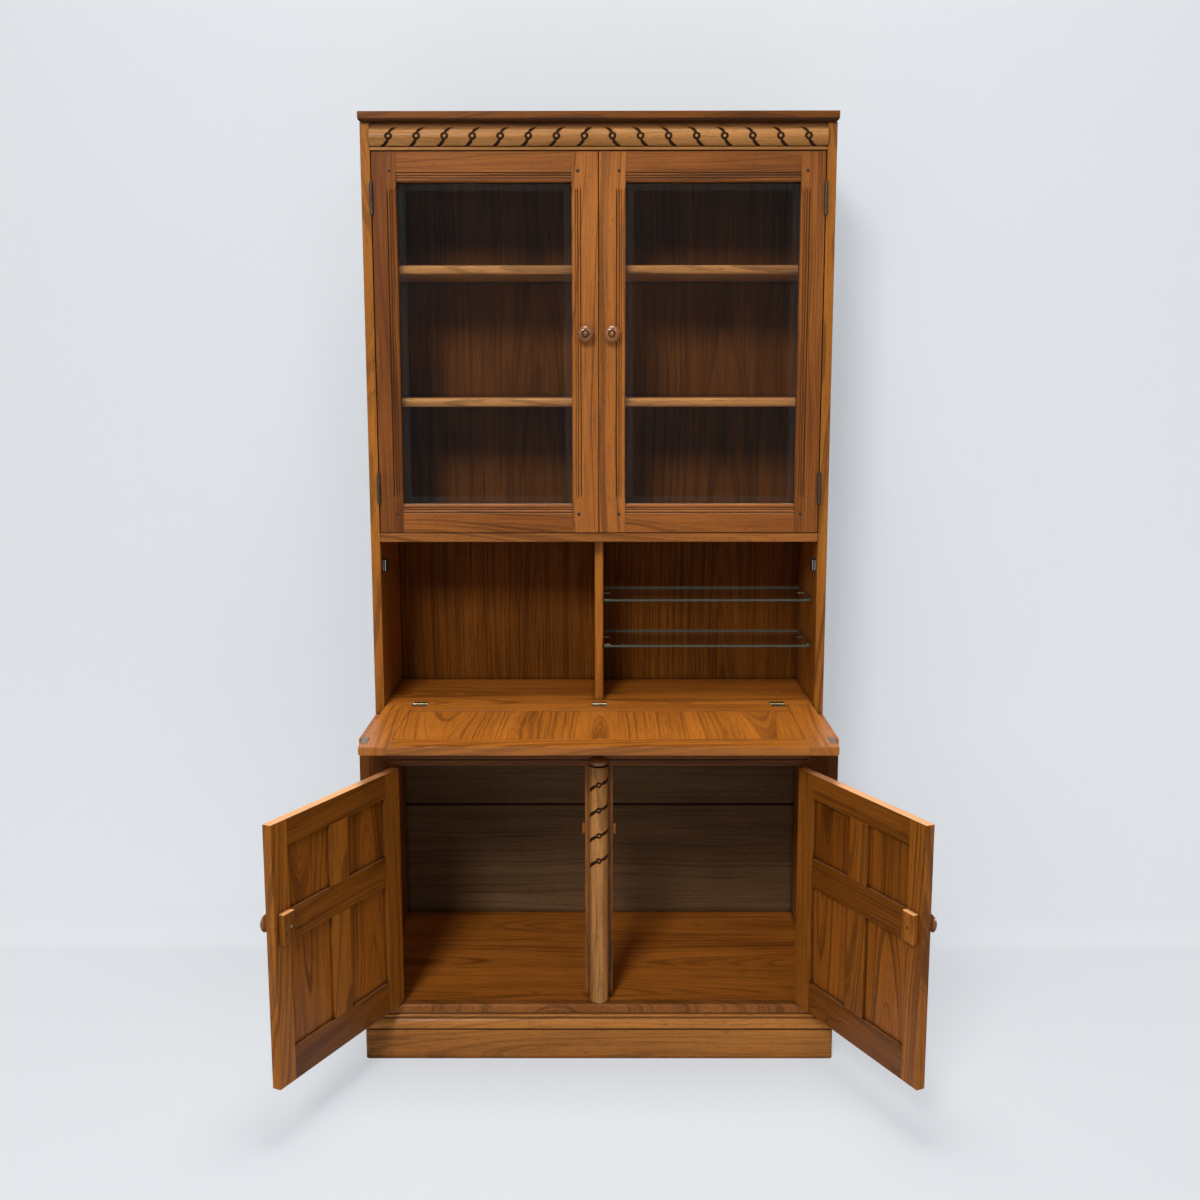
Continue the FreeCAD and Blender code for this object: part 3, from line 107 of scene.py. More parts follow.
class Side(Enum):
    """Which door of a pair."""

    LEFT = "left"
    RIGHT = "right"


class Leaf(Enum):
    """A leaf of a flap hinge, with the way along Y that it reaches from the pin."""

    FLOOR = 1.0
    FLAP = -1.0


class Value:
    """A number, colour or vector in a shader, with arithmetic that adds its Math nodes."""

    def __init__(self, graph: Graph, socket: bpy.types.NodeSocket) -> None:
        """Wraps one output socket."""
        self.graph = graph
        self.socket = socket

    def __add__(self, other: Value | float) -> Value:
        """Sum."""
        return self.graph.math("ADD", self, other)

    __radd__ = __add__

    def __sub__(self, other: Value | float) -> Value:
        """Difference."""
        return self.graph.math("SUBTRACT", self, other)

    def __rsub__(self, other: float) -> Value:
        """Difference with a number first."""
        return self.graph.math("SUBTRACT", other, self)

    def __mul__(self, other: Value | float) -> Value:
        """Product."""
        return self.graph.math("MULTIPLY", self, other)

    __rmul__ = __mul__

    def __truediv__(self, other: Value | float) -> Value:
        """Quotient."""
        return self.graph.math("DIVIDE", self, other)

    def __pow__(self, other: float) -> Value:
        """Power."""
        return self.graph.math("POWER", self, other)

    def floor(self) -> Value:
        """Whole number below."""
        return self.graph.math("FLOOR", self)

    def abs(self) -> Value:
        """Size without sign."""
        return self.graph.math("ABSOLUTE", self)

    def sine(self) -> Value:
        """Sine of an angle in radians."""
        return self.graph.math("SINE", self)

    def above(self, edge: float) -> Value:
        """Is 1 above an edge and 0 below it."""
        return self.graph.math("GREATER_THAN", self, edge)

    def most(self, other: Value | float) -> Value:
        """The larger of two."""
        return self.graph.math("MAXIMUM", self, other)

    def clip(self) -> Value:
        """Held between 0 and 1."""
        return self.graph.node("ShaderNodeClamp", {}, {"Value": self})

    def ramp(self, low: float, high: float) -> Value:
        """Rises smoothly from 0 at low to 1 at high."""
        inputs = {"Value": self, "From Min": low, "From Max": high}
        return self.graph.node("ShaderNodeMapRange", {"interpolation_type": "SMOOTHSTEP"}, inputs)

    def within(self, span: Span, soft: float = 0.0006) -> Value:
        """Is 1 between two limits and 0 outside them, with soft ends."""
        low, high = span
        return self.ramp(low - soft, low + soft) * (1.0 - self.ramp(high - soft, high + soft))

    def pick(self, spans: Sequence[Span], choices: Sequence[float]) -> Value | float:
        """Chooses a number by the span that this value lies in or nearest to.

        Args:
            spans: spans in rising order.
            choices: one number for each span.

        Returns:
            The first number, changed at each gap's middle to the next one.
        """
        chosen: Value | float = choices[0]
        for index in range(1, len(spans)):
            edge = (spans[index - 1][1] + spans[index][0]) / 2.0
            chosen = self.above(edge) * (choices[index] - choices[index - 1]) + chosen
        return chosen

    def sibling(self, output: str) -> Value:
        """Another output of the same node."""
        return Value(self.graph, self.socket.node.outputs[output])


class Graph:
    """The node tree of one material or world."""

    def __init__(self, tree: bpy.types.NodeTree) -> None:
        """Clears a tree for use."""
        self.tree = tree
        tree.nodes.clear()

    def node(self, kind: str, settings: Settings, inputs: Inputs, output: int | str = 0) -> Value:
        """Adds a node.

        Args:
            kind: the node's type.
            settings: properties that are set first.
            inputs: numbers, colours or values by socket name or number.
            output: the output that is wanted.

        Returns:
            That output.
        """
        node = self.tree.nodes.new(kind)
        for name, setting in settings.items():
            setattr(node, name, setting)
        for key, given in inputs.items():
            socket = node.inputs[key]
            if isinstance(given, Value):
                self.tree.links.new(given.socket, socket)
            elif socket.type == "RGBA":
                socket.default_value = (*given, 1.0)
            else:
                socket.default_value = given
        return Value(self, node.outputs[output])

    def end(self, kind: str, surface: Value) -> None:
        """Adds the output node of a material or world."""
        node = self.tree.nodes.new(kind)
        self.tree.links.new(surface.socket, node.inputs["Surface"])

    def math(self, operation: str, *operands: Value | float) -> Value:
        """Adds one Math node."""
        return self.node("ShaderNodeMath", {"operation": operation}, dict(enumerate(operands)))

    def dot(self, first: Value, second: Value | Direction) -> Value:
        """How far two directions agree, from -1 to 1."""
        inputs = {0: first, 1: second}
        return self.node("ShaderNodeVectorMath", {"operation": "DOT_PRODUCT"}, inputs, "Value")

    def parts(self, vector: Value) -> tuple[Value, Value, Value]:
        """The three numbers of a vector."""
        first = self.node("ShaderNodeSeparateXYZ", {}, {0: vector}, "X")
        return first, first.sibling("Y"), first.sibling("Z")

    def vector(self, x: Value | float, y: Value | float, z: Value | float) -> Value:
        """Makes a vector of three numbers."""
        return self.node("ShaderNodeCombineXYZ", {}, {0: x, 1: y, 2: z})

    def point(self) -> Value:
        """The point's own coordinates in metres."""
        return self.node("ShaderNodeTexCoord", {}, {}, "Object")

    def outward(self) -> Value:
        """The way that the piece's face looks, before any pose."""
        return self.node("ShaderNodeTexCoord", {}, {}, "Normal")

    def facing(self) -> Value:
        """The way that the face looks in the picture."""
        return self.node("ShaderNodeNewGeometry", {}, {}, "Normal")

    def noise(self, place: Value, detail: float = 2.0, rough: float = 0.5, scale: float = 1.0) -> Value:
        """Smooth noise about 0, mostly within 0.3 of it."""
        inputs = {"Vector": place, "Scale": scale, "Detail": detail, "Roughness": rough}
        return self.node("ShaderNodeTexNoise", {"noise_dimensions": "3D"}, inputs) - 0.5

    def blend(self, share: Value | float, first: Value | Colour, second: Value | Colour) -> Value:
        """Mixes two colours by a share of the second."""
        settings = {"data_type": "RGBA", "blend_type": "MIX"}
        return self.node("ShaderNodeMix", settings, {0: share, 6: first, 7: second}, 2)


@dataclass(frozen=True)
class WoodFinish:
    """A stained and waxed wood.

    Pale and deep are the body's colours, and line is that of late wood, pores, joints, and of
    corners, grooves and cuts, which are darkened as painted shade with dark wax. Faces that look one
    given way take a colour of their own: painted shade or highlight, on some finishes with worn
    top edges. Ring and the reach of the darkened corners are metres, and heart_spread is how far in
    metres the hearts of its boards lie apart.
    """

    name: str
    pale: Colour
    deep: Colour
    line: Colour
    ring: float = 0.0045
    ring_share: float = 0.55
    heart_spread: float = 0.22
    streak_share: float = 1.0
    cloud_share: float = 1.2
    grain_share: float = 0.5
    # These darken corners and grooves as painted shade with dark wax, lighten arrises as a painted
    # highlight, and recolour faces that look one way as painted light or shade.
    wax_and_shade: float = 0.85
    wax_and_shade_reach: float = 0.013
    arris_highlight_and_rub: float = 0.6
    face_light_and_wear: float = 0.0
    painted_light_face: Direction = (0.0, 0.0, 1.0)
    face_light_and_wear_colour: Colour = (0.80, 0.36, 0.12)
    roughness: float = 0.36
    coat: float = 0.05
    coat_roughness: float = 0.14
    gloss: float = 0.10


@dataclass(frozen=True)
class Figure:
    """How every wood grew, and how far its dark wax with painted shade, its worn spots and its painted
    highlights show.

    Names that end in waves, along or across are waves per metre. Wander, dip, turn, heart_depth,
    ripple, arris and relief are metres. A span is where a noise, a turn of the face or a cut
    begins to show and where it shows in full.
    """

    board_shift: float = 9.0
    piece_shift: float = 1.7
    wander_waves: float = 1.6
    wander_spread: float = 40.0
    wander_slice: float = 0.3
    wander: float = 0.05
    dip_waves: float = 2.7
    dip: float = 0.034
    turn_waves: float = 55.0
    turn: float = 0.012
    heart_depth: float = 0.042
    ripple_along: float = 10.0
    ripple_across: float = 45.0
    ripple: float = 0.004
    detail: float = 3.0
    ring_along: float = 0.7
    ring_spread: float = 23.0
    ring_rough: float = 0.55
    ring_span: Span = (-0.01, 0.12)
    ring_base: float = 0.9
    streak_along: float = 5.0
    streak_across: float = 240.0
    streak_rough: float = 0.62
    grain_along: float = 9.0
    grain_across: float = 330.0
    grain_rough: float = 0.6
    grain_span: Span = (0.03, 0.20)
    cloud_along: float = 2.4
    cloud_across: float = 15.0
    pore_along: float = 55.0
    pore_across: float = 850.0
    pore_span: Span = (0.08, 0.20)
    pore_share: float = 0.55
    board_tone: float = 0.25
    arris: float = 0.0020
    arris_samples: int = 4
    arris_highlight_span: Span = (0.03, 0.25)
    face_light_span: Span = (0.7, 0.95)
    # Darkness of joints and of the painted shadow line under the base back's lap.
    joint_and_lap_shadow_share: float = 0.6
    carved_span: Span = (0.0, 0.45)
    ring_rise: float = -0.25
    streak_rise: float = 0.35
    pore_depth: float = 0.6
    relief: float = 0.0005
    relief_share: float = 0.25
    streak_roughness: float = 0.2


@dataclass(frozen=True)
class MetalFinish:
    """A metal or moulded plastic with cloudy worn patches, and with uncoated poles if it has their colour.
    """

    name: str
    colour: Colour
    worn: Colour
    roughness: float
    metallic: float = 1.0
    gloss: float = 0.5
    pole: Colour | None = None


@dataclass(frozen=True)
class Patina:
    """How every fitting wore: waves per metre, and metres for dirt_reach and relief."""

    cloud_waves: float = 110.0
    cloud_detail: float = 3.0
    cloud_share: float = 1.6
    fine_waves: float = 1400.0
    fine_share: float = 0.6
    rough: float = 0.6
    base: float = 0.45
    dirt: float = 0.5
    dirt_reach: float = 0.002
    relief: float = 0.0002
    relief_share: float = 0.2
    fine_roughness: float = 0.3


@dataclass(frozen=True)
class GlassFinish:
    """Clear sheet glass: its faces have a faint tint with a painted grey haze of reflection, its cut edges
    show the glass's own colour, on the shelves lightened by a painted highlight, and its bevels show a
    painted reflection.

    A span is how much of the face's outward direction lies across the sheet where a cut edge or a
    bevel begins, and where it is full. The film has film_waves waves per metre.
    """

    name: str
    face: Colour
    edge: Colour
    face_alpha: float
    edge_alpha: float
    gloss: float = 0.5
    lies_flat: bool = False
    bevel: Colour = (0.0, 0.0, 0.0)
    bevel_alpha: float = 0.0
    index: float = 1.52
    roughness: float = 0.03
    film_waves: float = 9.0
    film_detail: float = 3.0
    film_rough: float = 0.55
    film_roughness: float = 0.04
    flat_span: Span = (0.4, 0.6)
    upright_span: Span = (0.6, 0.8)
    bevel_span: Span = (0.04, 0.10)


CASE = WoodFinish("case_wood", pale=(0.42, 0.154, 0.034), deep=(0.180, 0.058, 0.011),
                  line=(0.045, 0.015, 0.004), grain_share=0.35)
# Top wood: the under-chamfer of the top board is painted almost black, painted shade under the top's
# overhang.
TOP = replace(CASE, name="top_wood", pale=(0.22, 0.070, 0.009), deep=(0.095, 0.027, 0.003),
              face_light_and_wear=0.85, painted_light_face=(0.0, -0.7071, -0.7071), face_light_and_wear_colour=(0.020, 0.006, 0.001))
# Base sides: their front edges are painted dark, painted shade under the flap with darker stained wood.
BASE_SIDE = replace(CASE, name="base_side_wood", face_light_and_wear=0.75, painted_light_face=(0.0, -1.0, 0.0),
                    face_light_and_wear_colour=(0.080, 0.025, 0.002))
PLINTH = replace(CASE, name="plinth_wood", pale=(0.456, 0.179, 0.038), deep=(0.209, 0.073, 0.013),
                 ring=0.0055, ring_share=0.3, heart_spread=0.1, grain_share=0.22)
SIDE = replace(CASE, name="side_wood", pale=(0.45, 0.160, 0.021), deep=(0.188, 0.062, 0.008))
# Glazed doors: upward faces of the frames and beads are painted paler, a painted highlight from the light
# above.
DOOR = replace(CASE, name="door_wood", pale=(0.40, 0.138, 0.027), deep=(0.15, 0.043, 0.008),
               heart_spread=0.5, face_light_and_wear=0.6, face_light_and_wear_colour=(0.85, 0.50, 0.28))
SHELF = replace(CASE, name="shelf_wood", pale=(0.60, 0.285, 0.088), deep=(0.33, 0.13, 0.034))
INNER = WoodFinish("inner_wood", pale=(0.60, 0.20, 0.027), deep=(0.30, 0.090, 0.010),
                   line=(0.090, 0.026, 0.004))
# Flap: its front faces are painted darker than its top.
FLAP = replace(INNER, name="flap_wood", pale=(0.57, 0.186, 0.022), deep=(0.31, 0.094, 0.009),
               line=(0.070, 0.020, 0.003), gloss=0.28, face_light_and_wear=0.45, painted_light_face=(0.0, -1.0, 0.0),
               face_light_and_wear_colour=(0.265, 0.09, 0.008))
FLAP_PANEL = replace(FLAP, name="flap_panel_wood", ring=0.0042, ring_share=0.5, heart_spread=0.10)
# Cupboard doors: upward faces, such as the doors' top edges, are painted pale, a painted highlight from the
# light above, and worn top edges.
CUPBOARD = replace(INNER, name="cupboard_wood", pale=(0.36, 0.118, 0.014), deep=(0.16, 0.048, 0.005),
                   line=(0.040, 0.011, 0.002), ring_share=0.5, face_light_and_wear=0.9, face_light_and_wear_colour=(0.92, 0.46, 0.20))
CUPBOARD_PANEL = replace(CUPBOARD, name="panel_wood", pale=(0.33, 0.102, 0.011), deep=(0.15, 0.043, 0.004),
                         ring=0.0042, ring_share=0.6, heart_spread=0.10)
MOULDING = WoodFinish("moulding_wood", pale=(0.46, 0.215, 0.065), deep=(0.24, 0.096, 0.024),
                      line=(0.026, 0.010, 0.003), ring_share=0.22, grain_share=0.2, wax_and_shade=0.9,
                      wax_and_shade_reach=0.006)
PILASTER = replace(MOULDING, name="pilaster_wood", ring_share=0.4, streak_share=2.0, cloud_share=2.4,
                   grain_share=0.5)
BACK = WoodFinish("back_wood", pale=(0.195, 0.064, 0.008), deep=(0.084, 0.025, 0.003),
                  line=(0.024, 0.008, 0.001), ring=0.0060, ring_share=0.45, heart_spread=0.9,
                  streak_share=1.7, roughness=0.45, coat=0.0, gloss=0.04)
BASE_BACK = replace(BACK, name="base_back_wood", pale=(0.195, 0.118, 0.060), deep=(0.093, 0.053, 0.026),
                    streak_share=0.5, ring_share=0.3, grain_share=0.22)
KNOB = WoodFinish("knob_wood", pale=(0.33, 0.115, 0.024), deep=(0.15, 0.048, 0.010),
                  line=(0.010, 0.004, 0.002), ring_share=0.2, grain_share=0.2, wax_and_shade=1.0,
                  wax_and_shade_reach=0.007, arris_highlight_and_rub=0.0, roughness=0.3, coat=0.9, coat_roughness=0.09, gloss=0.05)
PEG = WoodFinish("dark_peg", pale=(0.055, 0.028, 0.014), deep=(0.025, 0.012, 0.006),
                 line=(0.010, 0.005, 0.003), coat=0.4)
HINGE = MetalFinish("hinge_metal", colour=(0.030, 0.025, 0.020), worn=(0.10, 0.08, 0.055),
                    roughness=0.42, metallic=0.9)
BRASS = MetalFinish("brass", colour=(0.11, 0.085, 0.048), worn=(0.40, 0.31, 0.17), roughness=0.38)
STEEL = MetalFinish("steel", colour=(0.23, 0.20, 0.16), worn=(0.46, 0.42, 0.36), roughness=0.42)
CATCH = MetalFinish("catch_plastic", colour=(0.010, 0.009, 0.008), worn=(0.022, 0.021, 0.019),
                    roughness=0.6, metallic=0.0, gloss=0.08, pole=(0.46, 0.45, 0.41))
# Panes: the faces' dark tint is a painted grey haze of reflection, and the bevels' paler colour is a painted
# reflection.
PANE = GlassFinish("glass", face=(0.016, 0.034, 0.042), edge=(0.02, 0.03, 0.028), face_alpha=0.06,
                   edge_alpha=0.5, gloss=0.30, bevel=(0.085, 0.10, 0.105), bevel_alpha=0.13)
# Glass shelves: the green of the cut edges is lightened by a painted highlight.
SHELF_GLASS = GlassFinish("glass_shelf", face=(0.02, 0.026, 0.024), edge=(0.075, 0.115, 0.095),
                          face_alpha=0.08, edge_alpha=0.75, gloss=0.10, lies_flat=True)


@dataclass(frozen=True)
class Fibres:
    """Where a point lies in its own board.

    The first three are metres along, across and through the fibres. Chance is a number from
    0 to 1 that differs from board to board, and shade is extra darkness: stained wood, and on the
    base's stiles and top rail painted shade under the flap. Joint is 1 on the line where two members
    meet, and more on the painted shadow line under the lap of the base back.
    """

    along: Value
    across: Value
    through: Value
    chance: Value | float
    shade: Value | float = 0.0
    joint: Value | float = 0.0


def middles(spans: Sequence[Span]) -> list[float]:
    """The middle of each span."""
    return [sum(span) / 2.0 for span in spans]


def draws(spans: Sequence[Span], step: float, start: float = 0.0) -> list[float]:
    """A number from 0 to 1 for each span, a step on from the one before it."""
    return [(index * step + start) % 1.0 for index, _ in enumerate(spans)]


@dataclass(frozen=True)
class Board:
    """One wide board, glued up from strips side by side; a painted shadow line along it counts from its
    lower edge.
    """

    node: str
    along: Axis
    across: Axis
    strip: float = 0.14
    shade: float = 0.0
    slope: float = 0.0
    lap_shadow: Span = (0.0, 0.0)
    lap_shadow_share: float = 1.5

    def fibres(self, graph: Graph) -> Fibres:
        """Measures each strip from its own middle; the strips count out from the board's middle.

        Args:
            graph: the nodes of the board's material.

        Returns:
            The point's place in its strip.
        """
        low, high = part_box(self.node)
        middle = (low + high) / 2.0
        place = graph.parts(graph.point())
        through = next(axis for axis in Axis if axis not in (self.along, self.across))
        across = place[self.across.value] - middle[self.across.value]
        number = (across / self.strip + 0.5).floor()
        settings = {"noise_dimensions": "1D"}
        chance = graph.node("ShaderNodeTexWhiteNoise", settings, {"W": number + sum(middle)}, "Value")
        along = place[self.along.value]
        joint: Value | float = 0.0
        # Painted shadow line along the board, under the step of the base back's lap.
        if self.lap_shadow[1] > self.lap_shadow[0]:
            rise = place[self.across.value] - low[self.across.value]
            joint = rise.within(self.lap_shadow) * self.lap_shadow_share
        return Fibres(along, along * self.slope + across - number * self.strip,
                      place[through.value] - middle[through.value], chance, self.shade, joint)


@dataclass(frozen=True)
class DoorAxes:
    """A door's own axes: across from its hinge, along its length, and through its thickness.

    A standing door turns about an upright hinge; a flat one lies with its length along Y.
    """

    hinge: Span = (0.0, 0.0)
    turn: float = 0.0
    flat: bool = False

    def measure(self, graph: Graph) -> tuple[Value, Value, Value]:
        """Measures a point in the door.

        Args:
            graph: the nodes of the material.

        Returns:
            Metres across, along and through the door.
        """
        x, y, z = graph.parts(graph.point())
        if self.flat:
            return x, y, z
        right, deep = x - self.hinge[0], y - self.hinge[1]
        cosine, sine = math.cos(self.turn), math.sin(self.turn)
        return right * cosine + deep * sine, z, deep * cosine - right * sine


@dataclass(frozen=True)
class Framing:
    """Members of a framed door: stiles and muntins run its length, rails cross between them."""

    axes: DoorAxes
    stiles: tuple[Span, ...]
    rails: tuple[Span, ...]
    reach: Span
    stile_shade: Shades
    rail_shade: Shades
    spare: float = 0.002
    stile_step: float = 0.37
    rail_step: float = 0.29
    rail_start: float = 0.4

    def fibres(self, graph: Graph) -> Fibres:
        """Measures each member from its own middle, with the fibres along the member.

        The outer rails count as a little wider, so that the door's own edges are no joints.

        Args:
            graph: the nodes of the frame's material.

        Returns:
            The point's place in its member.
        """
        across, along, through = self.axes.measure(graph)
        limits = [list(span) for span in self.rails]
        limits[0][0] -= self.spare
        limits[-1][1] += self.spare
        crossing: Value | float = 0.0
        for low, high in limits:
            crossing = along.within((low, high)) + crossing
        crossing = (crossing * across.within(self.reach)).clip()
        upright = 1.0 - crossing

        def member(stiles: Sequence[float], rails: Sequence[float]) -> Value:
            """The number of the stile or of the rail that the point is in."""
            return upright * across.pick(self.stiles, stiles) + crossing * along.pick(self.rails, rails)

        over = across - across.pick(self.stiles, middles(self.stiles))
        rise = along - along.pick(self.rails, middles(self.rails))
        stile_draws = draws(self.stiles, self.stile_step)
        rail_draws = draws(self.rails, self.rail_step, self.rail_start)
        return Fibres(along * upright + across * crossing, over * upright + rise * crossing, through,
                      member(stile_draws, rail_draws), member(self.stile_shade, self.rail_shade),
                      crossing * upright * PEAK)


@dataclass(frozen=True)
class Panelling:
    """Panels in rows and columns, each with its fibres along the door."""

    axes: DoorAxes
    columns: tuple[Span, ...]
    rows: tuple[Span, ...]
    shade: Shades
    row_shade: Shades
    column_step: float = 0.38
    column_start: float = 0.21
    row_step: float = 0.17

    def fibres(self, graph: Graph) -> Fibres:
        """Measures each panel from its own middle.

        Args:
            graph: the nodes of the panels' material.

        Returns:
            The point's place in its panel.
        """
        across, along, through = self.axes.measure(graph)
        columns = across.pick(self.columns, draws(self.columns, self.column_step, self.column_start))
        chance = graph.math("FRACT", columns + along.pick(self.rows, draws(self.rows, self.row_step)))
        shade = across.pick(self.columns, self.shade) + along.pick(self.rows, self.row_shade)
        over = across - across.pick(self.columns, middles(self.columns))
        return Fibres(along, over, through, chance, shade)


Lay = Board | Framing | Panelling


def new_material(name: str) -> tuple[bpy.types.Material, Graph]:
    """Makes an empty material.

    Args:
        name: its name.

    Returns:
        The material and its nodes.
    """
    material = bpy.data.materials.new(name)
    material.use_nodes = True
    return material, Graph(material.node_tree)


@dataclass
class Workshop:
    """Makes finishes and puts them on pieces; no two boards share a figure."""

    nodes: Nodes
    hinges: dict[str, Hinge]
    grown: Figure = Figure()
    patina: Patina = Patina()
    hollow_samples: int = 5
    hollow_span: Span = (0.30, 0.95)
    made: int = 0

    def material(self, name: str) -> tuple[bpy.types.Material, Graph]:
        """Makes an empty material with a number of its own."""
        self.made += 1
        return new_material(f"{name}_{self.made:02d}")

    def put(self, name: str, material: bpy.types.Material) -> None:
        """Puts a finish on a node of the frame in place of what it has.

        Args:
            name: the node.
            material: the finish.
        """
        piece = self.nodes[name]
        piece.data.materials.clear()
        piece.data.materials.append(material)
        LOG.info("%s: %s", name, material.name)

    def fit(self, piece: bpy.types.Object, body: str, material: bpy.types.Material) -> None:
        """Fixes a new piece to a body and gives it a finish.

        Args:
            piece: the new piece.
            body: the body that it moves with.
            material: the finish.
        """
        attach(piece, body)
        piece.data.materials.append(material)
        LOG.info("%s, new on %s: %s", piece.name, body, material.name)

    def shine(self, graph: Graph, inputs: Inputs) -> None:
        """Adds the surface shader and the output."""
        graph.end("ShaderNodeOutputMaterial", graph.node("ShaderNodeBsdfPrincipled", {}, inputs))

    def hollow(self, graph: Graph, reach: float) -> Value:
        """Is 1 deep in a corner or groove and 0 on open faces.

        Args:
            graph: the nodes of the material.
            reach: how far in metres a neighbouring face counts.

        Returns:
            The share of darkening: dirt on the fittings, and painted shade with dark wax on the wood.
        """
        settings = {"samples": self.hollow_samples, "inside": False, "only_local": False}
        openness = graph.node("ShaderNodeAmbientOcclusion", settings, {"Distance": reach}, "AO")
        return 1.0 - openness.ramp(*self.hollow_span)

    def wood(self, finish: WoodFinish, boards: Lay, carved: bool = False) -> bpy.types.Material:
        """Makes a stained wood.

        The growth rings are uneven noise of the distance from a heart line that lies under each
        board, wanders and dips along it, so flat boards show arches. Streaks and pores are noise
        drawn out along the fibres. Arrises are painted paler, a painted highlight on worn edges, and
        faces that look one given way are painted lighter or darker, as painted light or shade. Corners,
        grooves and carved cuts are darkened by painted shade with dark wax, and joints and the painted
        shadow line under the base back's lap are darker.

        Args:
            finish: the colours and the figure.
            boards: how the boards of the piece lie.
            carved: whether the mesh says how deep each point is cut.

        Returns:
            The material.
        """
        grown = self.grown
        material, graph = self.material(finish.name)
        fibres = boards.fibres(graph)
        across, through, chance = fibres.across, fibres.through, fibres.chance
        along = chance * grown.board_shift + fibres.along + grown.piece_shift * self.made

        def stretched(lengthwise: float, crosswise: float, detail: float = 2.0, rough: float = 0.5) -> Value:
            """Noise drawn out along the fibres."""
            place = graph.vector(along * lengthwise, across * crosswise, through * crosswise)
            return graph.noise(place, detail, rough)

        way = graph.vector(along * grown.wander_waves, chance * grown.wander_spread, grown.wander_slice)
        heart = across - (chance - 0.5) * finish.heart_spread + graph.noise(way) * grown.wander
        dip = (along * grown.dip_waves).sine() * grown.dip + (through * grown.turn_waves).sine() * grown.turn
        ripple = stretched(grown.ripple_along, grown.ripple_across) * grown.ripple
        radius = (heart ** 2.0 + (dip + grown.heart_depth) ** 2.0) ** 0.5 + ripple
        spot = graph.vector(radius / finish.ring, along * grown.ring_along, chance * grown.ring_spread)
        late = graph.noise(spot, grown.detail, grown.ring_rough).ramp(*grown.ring_span)
        streak = stretched(grown.streak_along, grown.streak_across, grown.detail, grown.streak_rough)
        grain = stretched(grown.grain_along, grown.grain_across, grown.detail, grown.grain_rough)
        cloud = stretched(grown.cloud_along, grown.cloud_across)
        pores = stretched(grown.pore_along, grown.pore_across).ramp(*grown.pore_span)

        tone = (chance - 0.5) * grown.board_tone + streak * finish.streak_share
        tone = tone + cloud * finish.cloud_share + fibres.shade
        body = graph.blend((tone + 0.5).clip(), finish.pale, finish.deep)
        body = graph.blend((late * (cloud + grown.ring_base) * finish.ring_share).clip(), body, finish.line)
        body = graph.blend((grain.ramp(*grown.grain_span) * finish.grain_share).clip(), body, finish.line)
        body = graph.blend(pores * grown.pore_share, body, finish.line)

        arris = graph.node("ShaderNodeBevel", {"samples": grown.arris_samples}, {"Radius": grown.arris})
        # Painted highlight on worn arrises: where the bevelled normal leaves the face's, the colour goes to
        # the pale one.
        arris_highlight = (1.0 - graph.dot(arris, graph.facing())).ramp(*grown.arris_highlight_span)
        body = graph.blend(arris_highlight * finish.arris_highlight_and_rub, body, finish.pale)
        # Painted light or shade: faces that look one given way take a colour of their own, on some finishes
        # with worn top edges.
        if finish.face_light_and_wear:
            turned = graph.dot(graph.outward(), finish.painted_light_face).ramp(*grown.face_light_span)
            body = graph.blend(turned * finish.face_light_and_wear, body, finish.face_light_and_wear_colour)
        # Painted shade with dark wax: corners, grooves and carved cuts are darkened, and so are joints and
        # the painted shadow line under the base back's lap.
        wax_and_shade = self.hollow(graph, finish.wax_and_shade_reach) * finish.wax_and_shade + fibres.joint * grown.joint_and_lap_shadow_share
        if carved:
            cut = graph.node("ShaderNodeAttribute", {"attribute_name": CUT}, {}, "Fac")
            wax_and_shade = wax_and_shade.most(cut.ramp(*grown.carved_span))
        body = graph.blend(wax_and_shade.clip(), body, finish.line)

        height = late * grown.ring_rise + streak * grown.streak_rise - pores * grown.pore_depth
        bump = graph.node("ShaderNodeBump", {}, {"Strength": grown.relief_share, "Distance": grown.relief,
                                                 "Height": height, "Normal": arris})
        self.shine(graph, {"Base Color": body,
                           "Roughness": streak * grown.streak_roughness + finish.roughness,
                           "Specular IOR Level": finish.gloss, "Coat Weight": finish.coat,
                           "Coat Roughness": finish.coat_roughness, "Normal": bump})
        return material

    def metal(self, finish: MetalFinish, front: float = 0.0) -> bpy.types.Material:
        """Makes a metal or plastic: cloudy worn patches, fine scratches, dirt in the corners.

        Args:
            finish: the colours.
            front: the depth that the uncoated poles stand before, where the finish has poles.

        Returns:
            The material.
        """
        worn = self.patina
        material, graph = self.material(finish.name)
        cloud = graph.noise(graph.point(), worn.cloud_detail, worn.rough, worn.cloud_waves)
        fine = graph.noise(graph.point(), rough=worn.rough, scale=worn.fine_waves)
        dirt = self.hollow(graph, worn.dirt_reach) * worn.dirt
        share = (cloud * worn.cloud_share + fine * worn.fine_share + worn.base - dirt).clip()
        body = graph.blend(share, finish.colour, finish.worn)
        if finish.pole:
            behind = graph.parts(graph.point())[Axis.Y.value].above(front)
            body = graph.blend(1.0 - behind, body, finish.pole)
        bump = graph.node("ShaderNodeBump", {}, {"Strength": worn.relief_share, "Distance": worn.relief,
                                                 "Height": fine})
        self.shine(graph, {"Base Color": body, "Roughness": fine * worn.fine_roughness + finish.roughness,
                           "Metallic": finish.metallic, "Specular IOR Level": finish.gloss,
                           "Normal": bump})
        return material

